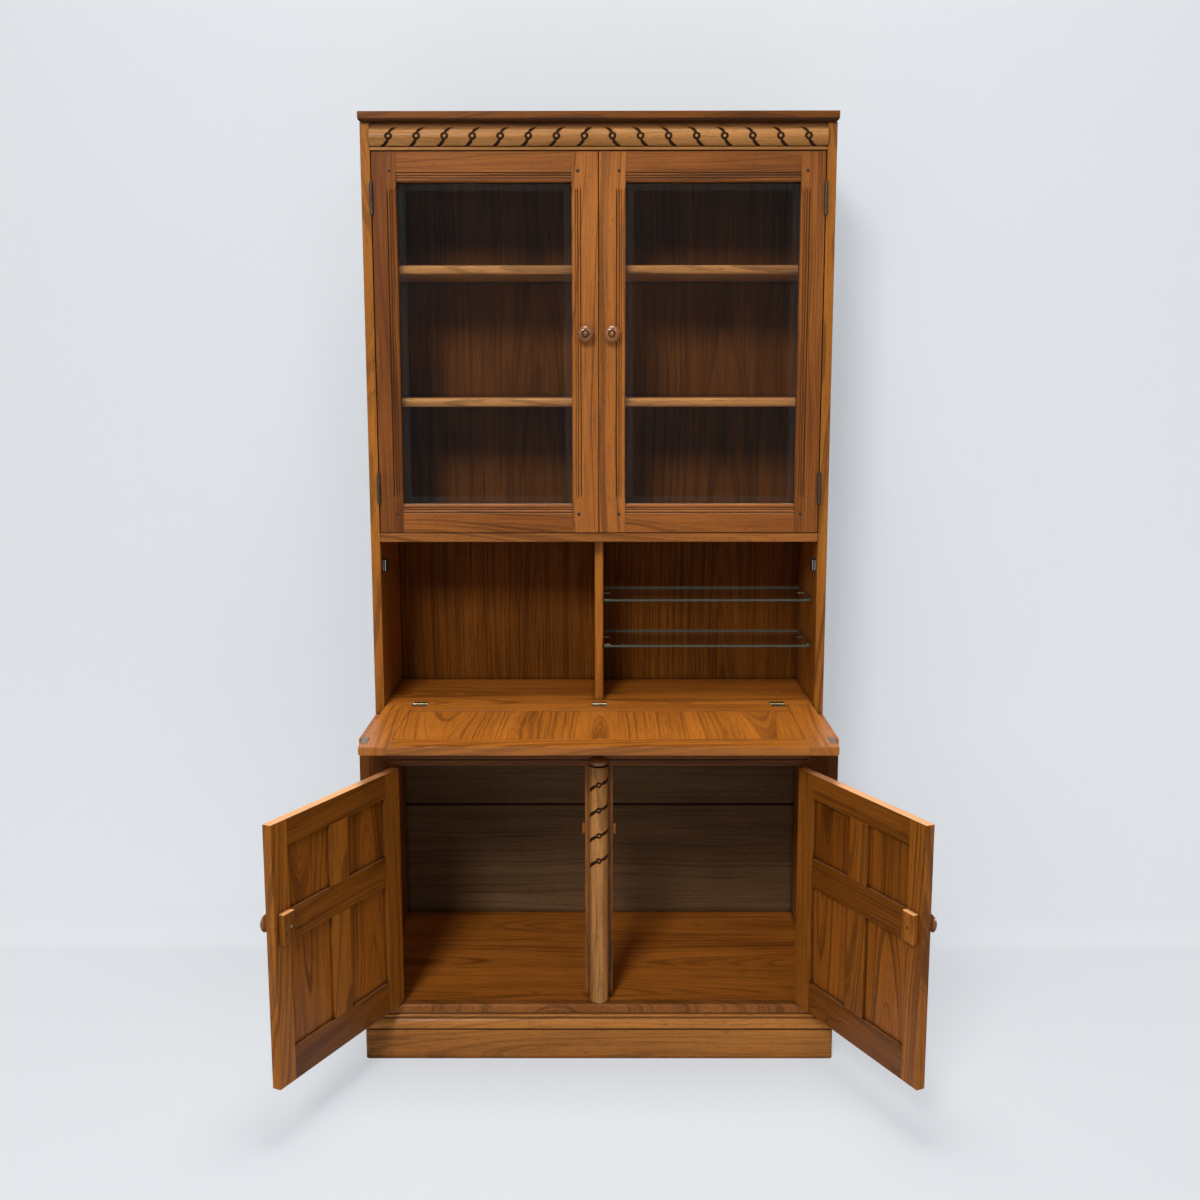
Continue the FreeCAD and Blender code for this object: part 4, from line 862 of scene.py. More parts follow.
    def glass(self, finish: GlassFinish) -> bpy.types.Material:
        """Makes sheet glass: clear faces with a faint film and a painted grey haze of reflection, deeper
        colour at the cut edges, and a painted reflection on the bevels where the finish has them.

        Args:
            finish: the colours.

        Returns:
            The material.
        """
        material, graph = self.material(finish.name)
        film = graph.noise(graph.point(), finish.film_detail, finish.film_rough, finish.film_waves)
        right, _, up = graph.parts(graph.outward())
        upward = up.abs()
        flat = 1.0 - upward.ramp(*finish.upright_span)
        if finish.lies_flat:
            flat = upward.ramp(*finish.flat_span)
        face: Value | Colour = finish.face
        alpha: Value | float = finish.face_alpha
        # Painted reflection: the bevels take a paler colour and alpha of their own.
        if finish.bevel_alpha:
            bevel = right.abs().most(upward).ramp(*finish.bevel_span)
            face = graph.blend(bevel, finish.face, finish.bevel)
            alpha = bevel * (finish.bevel_alpha - finish.face_alpha) + finish.face_alpha
        self.shine(graph, {"Base Color": graph.blend(flat, finish.edge, face),
                           "Roughness": film * finish.film_roughness + finish.roughness,
                           "IOR": finish.index, "Specular IOR Level": finish.gloss,
                           "Alpha": flat * (alpha - finish.edge_alpha) + finish.edge_alpha})
        return material


class Assembly:
    """A part of the cabinet that is built and then dressed."""

    def build(self, shop: Workshop) -> None:
        """Adds the pieces that the solids leave out or have in a plainer form; here none."""

    def dress(self, shop: Workshop) -> None:
        """Gives the solids their finishes; here none."""


def new_piece(name: str, points: np.ndarray, quads: np.ndarray) -> bpy.types.Object:
    """Makes a mesh with smooth faces and puts it into the scene.

    Args:
        name: the piece's name.
        points: an array of any shape whose last axis is x, y and z.
        quads: an array of any shape whose last axis is four numbers of points.

    Returns:
        The new piece, at the origin.
    """
    mesh = bpy.data.meshes.new(name)
    mesh.from_pydata(points.reshape(-1, 3).tolist(), [], quads.reshape(-1, 4).tolist())
    mesh.polygons.foreach_set("use_smooth", np.ones(len(mesh.polygons), dtype=bool))
    piece = bpy.data.objects.new(name, mesh)
    bpy.context.scene.collection.objects.link(piece)
    return piece


def looped_piece(name: str, points: np.ndarray, cut: np.ndarray | None = None) -> bpy.types.Object:
    """Makes a closed mesh from rows of loops, with coinciding points joined.

    Args:
        name: the piece's name.
        points: an array of copies by stations by loop points by three; the end loops are closed.
        cut: how deep each point is cut, from 0 to 1, if the piece is carved.

    Returns:
        The new piece, at the origin, with its faces outwards.
    """
    index = np.arange(points[..., 0].size).reshape(points.shape[:3])
    turned = np.roll(index, -1, axis=2)
    quads = np.stack((index[:, :-1], turned[:, :-1], turned[:, 1:], index[:, 1:]), axis=-1)
    piece = new_piece(name, points, quads)
    mesh = piece.data
    if cut is not None:
        mesh.attributes.new(CUT, "FLOAT", "POINT").data.foreach_set("value", cut.ravel().astype(np.float32))
    work = bmesh.new()
    work.from_mesh(mesh)
    bmesh.ops.remove_doubles(work, verts=work.verts, dist=WELD)
    bmesh.ops.recalc_face_normals(work, faces=work.faces)
    work.to_mesh(mesh)
    work.free()
    mesh.set_sharp_from_angle(angle=CREASE)
    return piece


def closed_ends(points: np.ndarray) -> np.ndarray:
    """Closes both ends of a row of loops.

    Args:
        points: an array of stations by loop points by three.

    Returns:
        The array with the middle of the first and of the last loop added, as loops of one point.
    """
    first = np.broadcast_to(points[:1].mean(axis=1, keepdims=True), points[:1].shape)
    last = np.broadcast_to(points[-1:].mean(axis=1, keepdims=True), points[-1:].shape)
    return np.concatenate((first, points, last))


@dataclass(frozen=True)
class Screws:
    """Slotted screw heads, all of one size, joined in one piece.

    A head is a loop carried along X: at each station the loop spans the circle's chord, its
    top follows a dome and its bottom is flat, and the stations within the slot drop by its depth.
    The slot is half its width as a share of the radius, and slot_wall is how far its walls lean.
    """

    radius: float = 0.0028
    rise: float = 0.0006
    slot: float = 0.16
    slot_wall: float = 1.02
    slot_depth: float = 0.0004
    sink: float = 0.0008
    stations: int = 13
    chord_points: int = 11

    def surface(self) -> np.ndarray:
        """Works out one head, with +Z outwards.

        Returns:
            An array of stations by loop points by three.
        """
        edge = self.slot * self.slot_wall
        side = np.cos(np.linspace(0.0, math.pi, self.stations)) * -1.0
        station = np.sort(np.concatenate((side, (-edge, -self.slot, self.slot, edge))))
        chord = np.sqrt(np.maximum(1.0 - station**2, 0.0))
        spread = np.sin(np.linspace(-QUARTER_TURN, QUARTER_TURN, self.chord_points))
        x, loop = np.meshgrid(station, spread, indexing="ij")
        y = loop * chord[:, None]
        z = self.rise * (1.0 - x**2 - y**2) - np.where(np.abs(x) <= self.slot, self.slot_depth, 0.0)
        top = np.stack((x * self.radius, y * self.radius, z), axis=-1)
        bottom = top[:, ::-1][:, [0, -1]].copy()
        bottom[:, :, 2] = -self.sink
        return np.concatenate((top, bottom), axis=1)

    def build(self, name: str, places: Sequence[Matrix]) -> bpy.types.Object:
        """Sets a head at each place.

        Args:
            name: the piece's name.
            places: where each head sits, with its Z axis outwards.

        Returns:
            The joined piece.
        """
        turns = np.array([np.array(place.to_3x3()) for place in places])
        shifts = np.array([np.array(place.translation) for place in places])
        points = np.einsum("kij,abj->kabi", turns, self.surface()) + shifts[:, None, None, :]
        return looped_piece(name, points)


@dataclass(frozen=True)
class FlapHinges:
    """The three hinges of the fall flap: where they sit along it, and how their screws sit."""

    centres: tuple[float, ...] = (-0.385, 0.0, 0.385)
    spread: float = 0.0095
    reach: float = 0.0135
    screws: Screws = Screws()

    def build(self, shop: Workshop, name: str, body: str, leaf: Leaf) -> None:
        """Sets the screws of one leaf of each hinge, two on each, heads up.

        Args:
            shop: the workshop, which knows the hinge and makes the finish.
            name: the piece's name.
            body: the body that the leaves move with.
            leaf: which leaves.
        """
        x, y, z = shop.hinges["fall_flap_swing"]["pos_m"]
        deep = y + self.reach * leaf.value
        places = [Matrix.Translation((x + centre + shift, deep, z))
                  for centre in self.centres for shift in (-self.spread, self.spread)]
        piece = self.screws.build(name, places)
        shop.fit(piece, body, shop.metal(BRASS))


@dataclass(frozen=True)
class Scroll:
    """An S-shaped scroll with a ring at its middle, cut into a half-round; lengths are metres.

    An arm's width is a sine that starts at swell_start of half a turn and runs on by swell of it,
    and overlap is the share of the arm's rise that it reaches back over the ring.
    """

    ring: float
    ring_half: float
    arm_half: float
    lean: float
    edge: float
    slant: float
    sag: float = 0.0
    swell_start: float = 0.18
    swell: float = 0.80
    overlap: float = 0.05

    def share(self, along: np.ndarray, across: np.ndarray) -> np.ndarray:
        """Works out how deep each point is cut.

        The ring is a circle about the middle. An arm is a quarter of an ellipse that leaves the
        ring across the half-round and ends along its edge, and the other arm is the same one
        turned half round; both slant a little. The cut's depth is a parabola of the distance from
        that line, which is the ellipse's equation divided by its slope, over half the cut's width.
        An arm's width swells and tapers as a sine of the way along it.

        Args:
            along: distance along the half-round from the middle of the nearest scroll.
            across: distance across the half-round from its middle line.

        Returns:
            The share of the full depth, from 0 to 1.
        """
        circle = 1.0 - ((np.hypot(along, across) - self.ring) / self.ring_half) ** 2
        sign = np.where(across < 0.0, -1.0, 1.0)
        rise = self.edge - self.ring
        before = 1.0 - (along - self.slant * across + self.sag * across**2) * sign / self.lean
        beyond = (across * sign - self.ring) / rise
        reach = np.maximum(np.hypot(before, beyond), TINY)
        slope = np.maximum(np.hypot(before / self.lean, beyond / rise) / reach, TINY)
        way = np.clip(np.arctan2(beyond, before) / QUARTER_TURN, 0.0, 1.0)
        half = self.arm_half * np.sin(math.pi * (self.swell_start + self.swell * way))
        arm = 1.0 - (np.abs(reach - 1.0) / slope / half) ** 2
        arm = np.where((beyond > -self.overlap) & (before > 0.0), arm, 0.0)
        return np.clip(np.maximum(circle, arm), 0.0, 1.0)


@dataclass
class CarvedFrieze(Assembly):
    """The half-round under the top board, with scrolls that lean to the middle from both sides."""

    fillet: float = 0.006
    fillet_arris: float = 0.0008
    quirk: float = 0.002
    depth: float = 0.0035
    pitch: float = 0.0562
    margin: float = 0.020
    step: float = 0.0008
    arc_points: int = 48
    shade: float = 0.08
    scroll: Scroll = Scroll(ring=0.0055, ring_half=0.0026, arm_half=0.0040, lean=0.0140, edge=0.0190,
                            slant=0.22)

    def build(self, shop: Workshop) -> None:
        """Carries the profile along X: a fillet below, a quirk, and an arc that the scrolls are cut into.

        The arc's radius is the sum of the squares of half its height and of its rise, over twice
        the rise. A cut takes its share of the full depth off the radius, and the scrolls to the
        left of the middle mirror those to the right of it.

        Args:
            shop: the workshop that makes the finish.
        """
        low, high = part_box("frieze_moulding")
        half = (high.z - low.z - self.fillet) / 2.0
        rise = high.y - low.y - self.quirk
        radius = (half**2 + rise**2) / (2.0 * rise)
        x = np.linspace(low.x, high.x, round((high.x - low.x) / self.step))
        angle = np.linspace(-1.0, 1.0, self.arc_points) * math.asin(half / radius)
        run, turn = np.meshgrid(x, angle, indexing="ij")
        along = self.pitch * (0.5 - np.mod(np.abs(run) / self.pitch, 1.0))
        count = math.floor((high.x - self.pitch / 2.0 - self.margin) / self.pitch) + 1
        cut = self.scroll.share(along, radius * np.sin(turn)) * (np.abs(run) < count * self.pitch)
        out = radius - self.depth * cut
        deep, up = low.y + radius - out * np.cos(turn), high.z - half + out * np.sin(turn)
        front, top = low.y + (high.y - low.y - self.fillet), low.z + self.fillet
        arris = self.fillet_arris
        foot = self.carried(x, ((high.y, low.z), (front + arris, low.z), (front, low.z + arris),
                                (front, top - arris), (front + arris, top), (high.y - self.quirk, top)))
        head = self.carried(x, ((high.y - self.quirk, high.z), (high.y, high.z)))
        loops = np.concatenate((foot, np.stack((run, deep, up), axis=-1), head), axis=1)
        depths = np.pad(cut, ((1, 1), (foot.shape[1], head.shape[1])))
        piece = looped_piece("carved_frieze", closed_ends(loops)[None], depths)
        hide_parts("frieze_moulding")
        board = Board("frieze_moulding", Axis.X, Axis.Z, shade=self.shade)
        shop.fit(piece, CASE_BODY, shop.wood(MOULDING, board, carved=True))

    def carried(self, x: np.ndarray, profile: Sequence[Span]) -> np.ndarray:
        """Repeats points of the profile at every station.

        Args:
            x: the stations.
            profile: each point as depth and height.

        Returns:
            An array of stations by profile points by three.
        """
        points = np.empty((len(x), len(profile), 3))
        points[:, :, 0] = x[:, None]
        points[:, :, 1:] = np.array(profile)
        return points


@dataclass
class CarvedPilaster(Assembly):
    """The half-round on the centre stile, with scrolls down its upper part and a domed head."""

    depth: float = 0.0030
    pitch: float = 0.0529
    drop: float = 0.035
    carved_share: float = 0.5
    step: float = 0.0008
    arc_points: int = 44
    button_points: int = 20
    tuck: float = -0.75
    shade: float = -0.1
    scroll: Scroll = Scroll(ring=0.0042, ring_half=0.0021, arm_half=0.0044, lean=0.0095, edge=0.0186,
                            slant=0.32, sag=8.0)

    def build(self, shop: Workshop) -> None:
        """Carries a half circle up Z with the scrolls cut into it, and sets a turned button on top.

        A cut takes its share of the full depth off the half circle's radius. The button is half of
        an ellipsoid of revolution, tucked in at its foot: its radius is the cosine and its height
        the sine of an angle that runs from the tuck to straight up.

        Args:
            shop: the workshop that makes the finishes.
        """
        low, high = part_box("pilaster")
        half = (high.x - low.x) / 2.0
        neck = high.z - half
        height = np.linspace(low.z, neck, round((neck - low.z) / self.step))
        angle = np.linspace(-QUARTER_TURN, QUARTER_TURN, self.arc_points)
        z, turn = np.meshgrid(height, angle, indexing="ij")
        top = neck - self.drop
        count = math.floor((top - low.z) * self.carved_share / self.pitch)
        place = (z - top) / self.pitch
        along = self.pitch * (np.mod(place + 0.5, 1.0) - 0.5)
        carved = (place < 0.5) & (place > 0.5 - count)
        cut = self.scroll.share(along, half * np.sin(turn)) * carved
        axis = ((low.x + high.x) / 2.0, high.y)
        shaft = self.half_round(axis, half - self.depth * cut, turn, z)
        piece = looped_piece("carved_pilaster", closed_ends(shaft)[None], np.pad(cut, ((1, 1), (0, 0))))
        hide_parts("pilaster")
        board = Board("pilaster", Axis.Z, Axis.X, shade=self.shade)
        shop.fit(piece, CASE_BODY, shop.wood(PILASTER, board, carved=True))

        rise = half / (1.0 - math.sin(self.tuck))
        bends = np.linspace(self.tuck, QUARTER_TURN, self.button_points)
        bend, turn = np.meshgrid(bends, angle, indexing="ij")
        button = self.half_round(axis, half * np.cos(bend), turn, high.z - rise + rise * np.sin(bend))
        piece = looped_piece("pilaster_button", closed_ends(button)[None])
        shop.fit(piece, CASE_BODY, shop.wood(KNOB, replace(board, shade=0.0)))

    def half_round(self, axis: Span, radius: np.ndarray, turn: np.ndarray, z: np.ndarray) -> np.ndarray:
        """Places points at a radius and a turn from straight ahead about an upright axis."""
        return np.stack((axis[0] + radius * np.sin(turn), axis[1] - radius * np.cos(turn), z), axis=-1)


@dataclass
class Carcase(Assembly):
    """The fixed case: plinth, base, upper case, shelves and their fittings."""

    # Painted shadow line under the base back's lap, in metres up from the back's lower edge.
    back_lap_shadow: Span = (0.285, 0.294)
    pole_rise: float = 0.0009
    flap_hinges: FlapHinges = FlapHinges()

    def boards(self) -> dict[WoodFinish, tuple[Board, ...]]:
        """Lists the boards of the case.

        Returns:
            The boards by their finish, each with the way that its fibres run.
        """
        x, y, z = Axis
        return {
            CASE: (
                Board("base_ledge", x, y, strip=1.0, shade=0.35, slope=0.4), Board("door_keepers", z, x),
                Board("frieze_rail", x, z), Board("display_floor", x, y), Board("centre_stile", z, x),
            ),
            BASE_SIDE: (Board("base_side_left", z, y), Board("base_side_right", z, y)),
            TOP: (
                # The base's stiles and top rail take this dark wood and extra shade: painted shade under the
                # flap.
                Board("top_board", x, y), Board("base_stiles", z, x, strip=0.2, shade=0.45),
                Board("base_top_rail", x, z, shade=0.25),
            ),
            PLINTH: (
                Board("plinth_front", x, z), Board("plinth_back", x, z), Board("plinth_sides", y, z),
                Board("plinth_moulding", x, z, shade=-0.35),
            ),
            SIDE: (
                Board("upper_side_left", z, y), Board("upper_side_right", z, y),
                Board("partition", z, y, shade=-0.3),
            ),
            SHELF: (Board("display_shelf_upper", x, y), Board("display_shelf_lower", x, y)),
            INNER: (Board("base_bottom", x, y), Board("base_top", x, y), Board("compartment_floor", x, y)),
            BACK: (Board("upper_back", z, x),),
            BASE_BACK: (Board("base_back", x, z, lap_shadow=self.back_lap_shadow),),
        }

    def build(self, shop: Workshop) -> None:
        """Sets the screws of the flap hinges' floor leaves."""
        self.flap_hinges.build(shop, "floor_hinge_screws", CASE_BODY, Leaf.FLOOR)

    def dress(self, shop: Workshop) -> None:
        """Gives each piece of the case its own board of wood, metal or glass.

        Args:
            shop: the workshop that makes the finishes.
        """
        for finish, boards in self.boards().items():
            for board in boards:
                shop.put(board.node, shop.wood(finish, board))
        for name in ("glass_shelf_upper", "glass_shelf_lower"):
            shop.put(name, shop.glass(SHELF_GLASS))
        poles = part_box("magnet_catches")[0].y + self.pole_rise
        shop.put("magnet_catches", shop.metal(CATCH, poles))
        fittings = {"shelf_pins": BRASS, "butt_hinge_case_leaves": HINGE,
                    "flap_hinge_floor_leaves": BRASS, "hinge_pins": BRASS}
        for name, finish in fittings.items():
            shop.put(name, shop.metal(finish))


@dataclass
class GlazedDoor(Assembly):
    """One glazed door of the upper case, shut at rest."""

    side: Side
    hinge_stile: float = 0.049
    meeting_stile: float = 0.054
    rail: float = 0.060
    hinge_shade: float = 0.25
    meeting_shade: float = -0.30
    rail_shade: float = 0.08

    def framing(self, shop: Workshop) -> Framing:
        """Finds the members from the frame's box and its hinge.

        Args:
            shop: the workshop, which knows the hinge.

        Returns:
            The members of the door.
        """
        low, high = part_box(f"glazed_{self.side.value}_frame")
        x, y, _ = shop.hinges[f"glazed_door_{self.side.value}_swing"]["pos_m"]
        left = self.side is Side.LEFT
        near = low.x - x if left else x - high.x
        far = near + high.x - low.x
        reach = (near + self.hinge_stile, far - self.meeting_stile)
        return Framing(DoorAxes((x, y), 0.0 if left else math.pi), ((near, reach[0]), (reach[1], far)),
                       ((low.z, low.z + self.rail), (high.z - self.rail, high.z)), reach,
                       (self.hinge_shade, self.meeting_shade), (self.rail_shade, self.rail_shade))

    def dress(self, shop: Workshop) -> None:
        """Gives the frame, beads, knob, pegs, glass and hinges their finishes.

        Args:
            shop: the workshop that makes the finishes.
        """
        framing = self.framing(shop)
        name = f"glazed_{self.side.value}_"
        for piece in ("frame", "beads"):
            shop.put(name + piece, shop.wood(DOOR, framing))
        for piece, finish in {"knob": KNOB, "pegs": PEG}.items():
            shop.put(name + piece, shop.wood(finish, Board(name + piece, Axis.Y, Axis.Z)))
        shop.put(name + "glass", shop.glass(PANE))
        shop.put(name + "hinge_leaves", shop.metal(HINGE))


@dataclass
class FallFlap(Assembly):
    """The fall flap, let down at rest."""

    stile: float = 0.056
    rail: float = 0.060
    muntin: float = 0.058
    middle_panel: float = 0.238
    stile_shade: Shades = (0.10, 0.12, 0.12, 0.10)
    rail_shade: Shades = (0.08, 0.05)
    panel_shade: Shades = (0.0, 0.0, -0.08)
    flap_hinges: FlapHinges = FlapHinges()
    plate_inset: float = 0.0055
    plate_screws: Screws = Screws(radius=0.0032, rise=0.0002)

    def build(self, shop: Workshop) -> None:
        """Sets the screws of the hinge leaves and of the strike plates.

        Args:
            shop: the workshop that makes the finishes.
        """
        self.flap_hinges.build(shop, "flap_hinge_screws", "fall_flap", Leaf.FLAP)
        low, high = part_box("strike_plates")
        middle = (low.y + high.y) / 2.0
        spots = [(x, middle, high.z) for x in (low.x + self.plate_inset, high.x - self.plate_inset)]
        piece = self.plate_screws.build("strike_plate_screws", [Matrix.Translation(spot) for spot in spots])
        shop.fit(piece, "fall_flap", shop.metal(HINGE))

    def dress(self, shop: Workshop) -> None:
        """Gives the frame, panels and fittings their finishes.

        Args:
            shop: the workshop that makes the finishes.
        """
        low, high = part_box("flap_frame")
        half = high.x
        inner = half - self.stile
        near = self.middle_panel / 2.0
        far = near + self.muntin
        rails = ((low.y, low.y + self.rail), (high.y - self.rail, high.y))
        stiles = ((-half, -inner), (-far, -near), (near, far), (inner, half))
        axes = DoorAxes(flat=True)
        framing = Framing(axes, stiles, rails, (-inner, inner), self.stile_shade, self.rail_shade)
        columns = ((-inner, -far), (-near, near), (far, inner))
        panelling = Panelling(axes, columns, ((low.y, high.y),), self.panel_shade, (0.0,))
        shop.put("flap_frame", shop.wood(FLAP, framing))
        shop.put("flap_panels", shop.wood(FLAP_PANEL, panelling))
        shop.put("strike_plates", shop.metal(STEEL))
        shop.put("flap_hinge_leaves", shop.metal(BRASS))


@dataclass
class CupboardDoor(Assembly):
    """One panelled door of the base, standing open at rest.

    Dark_screws and bright_screws say how far from the middle of the catch block each screw of
    that kind sits, towards the hinge and up.
    """

    side: Side
    hinge_stile: float = 0.052
    free_stile: float = 0.045
    muntin: float = 0.055
    edge: float = 0.0012
    width: float = 0.3961
    top_rail: float = 0.049
    bottom_rail: float = 0.063
    lock_rail: float = 0.060
    lock_rise: float = 0.266
    block_board: float = 0.012
    block_shade: float = 0.15
    dark_screws: tuple[Span, ...] = ((0.0, 0.0),)
    dark_head: Screws = Screws(radius=0.0040, rise=0.0010, slot_depth=0.0006)
    bright_screws: tuple[Span, ...] = ()
    bright_head: Screws = Screws(radius=0.0034, rise=0.0016)
    tone: float = 0.0
    stile_shade: Shades = (0.15, 0.10, -0.30)
    rail_shade: Shades = (0.42, 0.40, 0.20)
    panel_shade: Shades = (0.15, -0.10)
    row_shade: Shades = (0.0, 0.05)

    def toned(self, shades: Shades) -> Shades:
        """Shades of the members, with the door's own tone."""
        return tuple(shade + self.tone for shade in shades)

    def axes(self, shop: Workshop) -> DoorAxes:
        """Finds the door's own axes, turned as far as the door stands open.

        Args:
            shop: the workshop, which knows the hinge.

        Returns:
            The axes.
        """
        hinge = shop.hinges[f"cupboard_door_{self.side.value}_swing"]
        opening = -math.radians(hinge["range_deg"][0])
        turn = -opening if self.side is Side.LEFT else math.pi + opening
        return DoorAxes((hinge["pos_m"][0], hinge["pos_m"][1]), turn)

    def build(self, shop: Workshop) -> None:
        """Sets the screws of the catch block.

        Args:
            shop: the workshop that makes the finishes.
        """
        low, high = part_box(f"cupboard_{self.side.value}_catch_block")
        turn = self.axes(shop).turn
        inward = Vector((-math.sin(turn), math.cos(turn), 0.0))
        if self.side is Side.RIGHT:
            inward = -inward
        hingeward = Vector((-math.cos(turn), -math.sin(turn), 0.0))
        centre = (low + high) / 2.0 + inward * (self.block_board / 2.0)
        facing = inward.to_track_quat("Z", "Y").to_matrix().to_4x4()
        kinds = (("dark", HINGE, self.dark_head, self.dark_screws),
                 ("bright", STEEL, self.bright_head, self.bright_screws))
        for kind, finish, head, spots in kinds:
            if not spots:
                continue
            points = [centre + hingeward * over + Vector((0.0, 0.0, up)) for over, up in spots]
            places = [Matrix.Translation(point) @ facing for point in points]
            piece = head.build(f"catch_block_{kind}_screw_{self.side.value}", places)
            shop.fit(piece, f"cupboard_door_{self.side.value}", shop.metal(finish))

    def dress(self, shop: Workshop) -> None:
        """Gives the frame, panels, knob, block and hinges their finishes.

        Args:
            shop: the workshop that makes the finishes.
        """
        name = f"cupboard_{self.side.value}_"
        low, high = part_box(name + "frame")
        axes = self.axes(shop)
        far = self.edge + self.width
        reach = (self.edge + self.hinge_stile, far - self.free_stile)
        middle = sum(reach) / 2.0
        muntin = (middle - self.muntin / 2.0, middle + self.muntin / 2.0)
        lock = (low.z + self.lock_rise, low.z + self.lock_rise + self.lock_rail)
        rails = ((low.z, low.z + self.bottom_rail), lock, (high.z - self.top_rail, high.z))
        stiles = ((self.edge, reach[0]), muntin, (reach[1], far))
        framing = Framing(axes, stiles, rails, reach, self.toned(self.stile_shade),
                          self.toned(self.rail_shade))
        columns = ((reach[0], muntin[0]), (muntin[1], reach[1]))
        rows = ((rails[0][1], lock[0]), (lock[1], rails[2][0]))
        panelling = Panelling(axes, columns, rows, self.toned(self.panel_shade), self.row_shade)
        block = Board(name + "catch_block", Axis.Z, Axis.Y, shade=self.block_shade)
        shop.put(name + "frame", shop.wood(CUPBOARD, framing))
        shop.put(name + "panels", shop.wood(CUPBOARD_PANEL, panelling))
        shop.put(name + "knob", shop.wood(KNOB, Board(name + "knob", Axis.Y, Axis.Z)))
        shop.put(name + "catch_block", shop.wood(CUPBOARD, block))
        shop.put(name + "hinge_leaves", shop.metal(HINGE))


@dataclass(frozen=True)
class Lamp:
    """A soft square lamp that faces the cabinet."""

    name: str
    place: tuple[float, float, float]
    size: float
    power: float
    colour: Colour
    target: tuple[float, float, float] = (0.0, -0.2, 0.95)

    def build(self) -> None:
        """Hangs the lamp."""
        data = bpy.data.lights.new(self.name, "AREA")
        data.size = self.size
        data.energy = self.power
        data.color = self.colour
        lamp = bpy.data.objects.new(self.name, data)
        place = Vector(self.place)
        turn = (Vector(self.target) - place).to_track_quat("-Z", "Y").to_matrix().to_4x4()
        lamp.matrix_world = Matrix.Translation(place) @ turn
        bpy.context.scene.collection.objects.link(lamp)


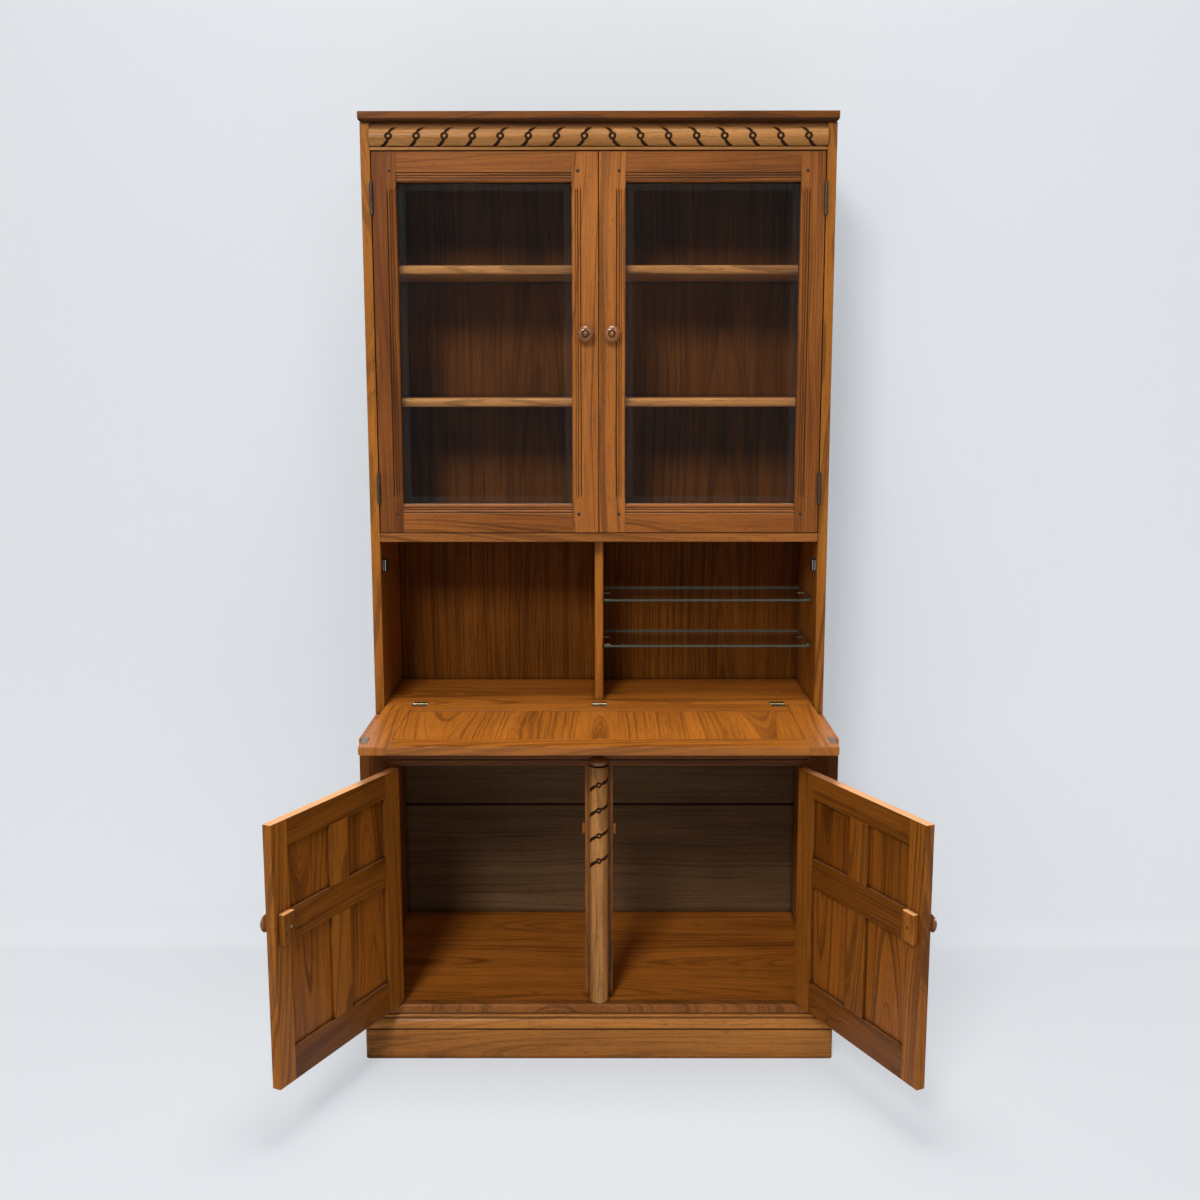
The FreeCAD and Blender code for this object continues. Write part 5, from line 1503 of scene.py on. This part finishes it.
@dataclass
class Studio:
    """Camera, pale floor, pale backdrop close behind the cabinet, and soft light.

    The camera's turns are radians. The glow is what the floor and the backdrop show of themselves
    where they are seen: it changes with height up to glow_height, and leans by glow_lean to one side.
    """

    eye: tuple[float, float, float] = (0.00935, -3.137, 1.3832)
    pitch: float = 0.160087
    yaw: float = -0.002502
    roll: float = -0.000918
    focal_pixels: float = 1372.73
    picture_pixels: float = 1200.0
    sensor: float = 36.0
    near_clip: float = 0.05
    backdrop: Colour = (0.745, 0.783, 0.831)
    black: Colour = (0.0, 0.0, 0.0)
    wall_share: float = 0.42
    floor_share: float = 0.58
    low_glow: Colour = (0.85, 0.90, 0.965)
    high_glow: Colour = (0.45, 0.485, 0.53)
    floor_glow: Colour = (0.745, 0.783, 0.831)
    glow_height: float = 2.3
    glow_lean: float = 0.12
    glow_shift: float = 1.0
    room: Colour = (0.09, 0.089, 0.087)
    bend_dim: float = 0.15
    half_width: float = 9.0
    columns: int = 3
    wall: float = 0.14
    bend: float = 0.09
    bend_points: int = 13
    lift: float = 0.0005
    lamps: tuple[Lamp, ...] = (
        Lamp("key", (-1.7, -6.5, 5.0), size=1.6, power=310.0, colour=(1.0, 0.97, 0.93)),
        Lamp("top", (0.0, -0.7, 5.0), size=2.0, power=165.0, colour=(1.0, 0.97, 0.93)),
        Lamp("left", (-3.2, -6.4, 2.5), size=1.6, power=28.0, colour=(1.0, 0.98, 0.95)),
        Lamp("right", (2.4, -6.6, 4.4), size=1.2, power=40.0, colour=(1.0, 0.98, 0.95)),
    )

    def build(self) -> None:
        """Sets up the camera, the floor, the backdrop, the room and the lamps."""
        self.camera()
        self.floor()
        self.wall_sweep()
        self.world()
        for lamp in self.lamps:
            lamp.build()

    def camera(self) -> None:
        """Stands the camera where the photograph was taken from."""
        data = bpy.data.cameras.new("camera")
        data.sensor_width = self.sensor
        data.lens = self.focal_pixels / self.picture_pixels * data.sensor_width
        data.clip_start = self.near_clip
        camera = bpy.data.objects.new("camera", data)
        ahead = Vector((math.sin(self.yaw) * math.cos(self.pitch), math.cos(self.yaw) * math.cos(self.pitch),
                        -math.sin(self.pitch)))
        right = Vector((math.cos(self.yaw), -math.sin(self.yaw), 0.0))
        above = right.cross(ahead)
        side = right * math.cos(self.roll) + above * math.sin(self.roll)
        up = above * math.cos(self.roll) - right * math.sin(self.roll)
        turn = Matrix((side, up, -ahead)).transposed().to_4x4()
        camera.matrix_world = Matrix.Translation(self.eye) @ turn
        bpy.context.scene.collection.objects.link(camera)
        bpy.context.scene.camera = camera

    def sheet(self, name: str, depth: np.ndarray, height: np.ndarray) -> Graph:
        """Carries a profile along X as a piece of the stage.

        Args:
            name: the sheet's name.
            depth: the depth of each point of the profile.
            height: the height of each point of the profile.

        Returns:
            The nodes of the sheet's empty material.
        """
        across = np.linspace(-self.half_width, self.half_width, self.columns)
        x, y = np.meshgrid(across, depth, indexing="ij")
        points = np.stack((x, y, np.broadcast_to(height, x.shape)), axis=-1)
        index = np.arange(x.size).reshape(x.shape)
        quads = np.stack((index[:-1, :-1], index[1:, :-1], index[1:, 1:], index[:-1, 1:]), axis=-1)
        piece = new_piece(name, points, quads)
        material, graph = new_material(name)
        piece.data.materials.append(material)
        return graph

    def seen(self, graph: Graph) -> Value:
        """Is 1 for what the camera sees, also by reflection or through glass."""
        ray = graph.node("ShaderNodeLightPath", {}, {}, "Is Camera Ray")
        return ray.most(ray.sibling("Is Glossy Ray")).most(ray.sibling("Is Transmission Ray"))

    def paint(self, graph: Graph, seen: Value) -> Value:
        """Makes pale paint that takes shadows, with a little glow of its own where it is seen.

        Args:
            graph: the nodes of the material.
            seen: 1 for what the camera sees.

        Returns:
            The shader.
        """
        upward = graph.parts(graph.facing())[Axis.Z.value].clip()
        bent = upward * (1.0 - upward) * PEAK * self.bend_dim
        tint = graph.blend(bent, self.backdrop, self.black)
        matt = graph.node("ShaderNodeBsdfDiffuse", {}, {"Color": tint})
        x, _, z = graph.parts(graph.point())
        level = (z / self.glow_height - (x + self.glow_shift) * self.glow_lean).clip()
        colour = graph.blend(upward, graph.blend(level, self.low_glow, self.high_glow), self.floor_glow)
        glow = graph.node("ShaderNodeEmission", {}, {"Color": colour, "Strength": 1.0})
        share = upward * (self.floor_share - self.wall_share) + self.wall_share
        return graph.node("ShaderNodeMixShader", {}, {0: seen * share, 1: matt, 2: glow})

    def floor(self) -> None:
        """Lays a wide flat floor."""
        reach = np.array((-self.half_width, self.half_width))
        graph = self.sheet("floor", reach, np.zeros(2))
        graph.end("ShaderNodeOutputMaterial", self.paint(graph, self.seen(graph)))

    def wall_sweep(self) -> None:
        """Stands a backdrop that curves up from the floor; it is clear from behind and to bounced light.

        Its profile is a quarter of a circle about a line in front of the wall, then straight up.
        """
        angle = np.linspace(0.0, QUARTER_TURN, self.bend_points)
        depth = np.concatenate((self.wall - self.bend * (1.0 - np.sin(angle)), [self.wall]))
        height = np.concatenate((self.bend * (1.0 - np.cos(angle)), [self.half_width]))
        graph = self.sheet("backdrop", depth, height + self.lift)
        seen = self.seen(graph)
        behind = graph.node("ShaderNodeNewGeometry", {}, {}, "Backfacing")
        clear = graph.node("ShaderNodeBsdfTransparent", {}, {})
        mixed = graph.node("ShaderNodeMixShader", {},
                           {0: seen * (1.0 - behind), 1: clear, 2: self.paint(graph, seen)})
        graph.end("ShaderNodeOutputMaterial", mixed)

    def world(self) -> None:
        """Gives an even, dim room that looks pale where it is seen."""
        world = bpy.data.worlds.new("room")
        world.use_nodes = True
        graph = Graph(world.node_tree)
        colour = graph.blend(self.seen(graph), self.room, self.backdrop)
        light = graph.node("ShaderNodeBackground", {}, {"Color": colour, "Strength": 1.0})
        graph.end("ShaderNodeOutputWorld", light)
        bpy.context.scene.world = world


def main() -> None:
    """Dresses the frame and sets up the picture."""
    logging.basicConfig(level=logging.INFO, format="%(name)s %(message)s")
    for item in list(bpy.data.objects):
        bpy.data.objects.remove(item)
    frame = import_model()
    bpy.context.scene.view_settings.view_transform = "Standard"
    shop = Workshop(frame["nodes"], {joint["name"]: joint for joint in frame["joints"]})
    assemblies: tuple[Assembly, ...] = (
        Carcase(),
        CarvedFrieze(),
        CarvedPilaster(),
        GlazedDoor(Side.LEFT, hinge_shade=0.50),
        GlazedDoor(Side.RIGHT),
        CupboardDoor(Side.LEFT, tone=-0.20, rail_shade=(0.85, 0.50, 0.40),
                     dark_screws=((-0.008, -0.008),), bright_screws=((0.005, 0.001),)),
        CupboardDoor(Side.RIGHT, row_shade=(-0.22, 0.22), block_shade=-0.30),
        FallFlap(),
    )
    for assembly in assemblies:
        assembly.build(shop)
        assembly.dress(shop)
        LOG.info("%s is done", type(assembly).__name__)
    Studio().build()


if __name__ == "__main__":
    main()
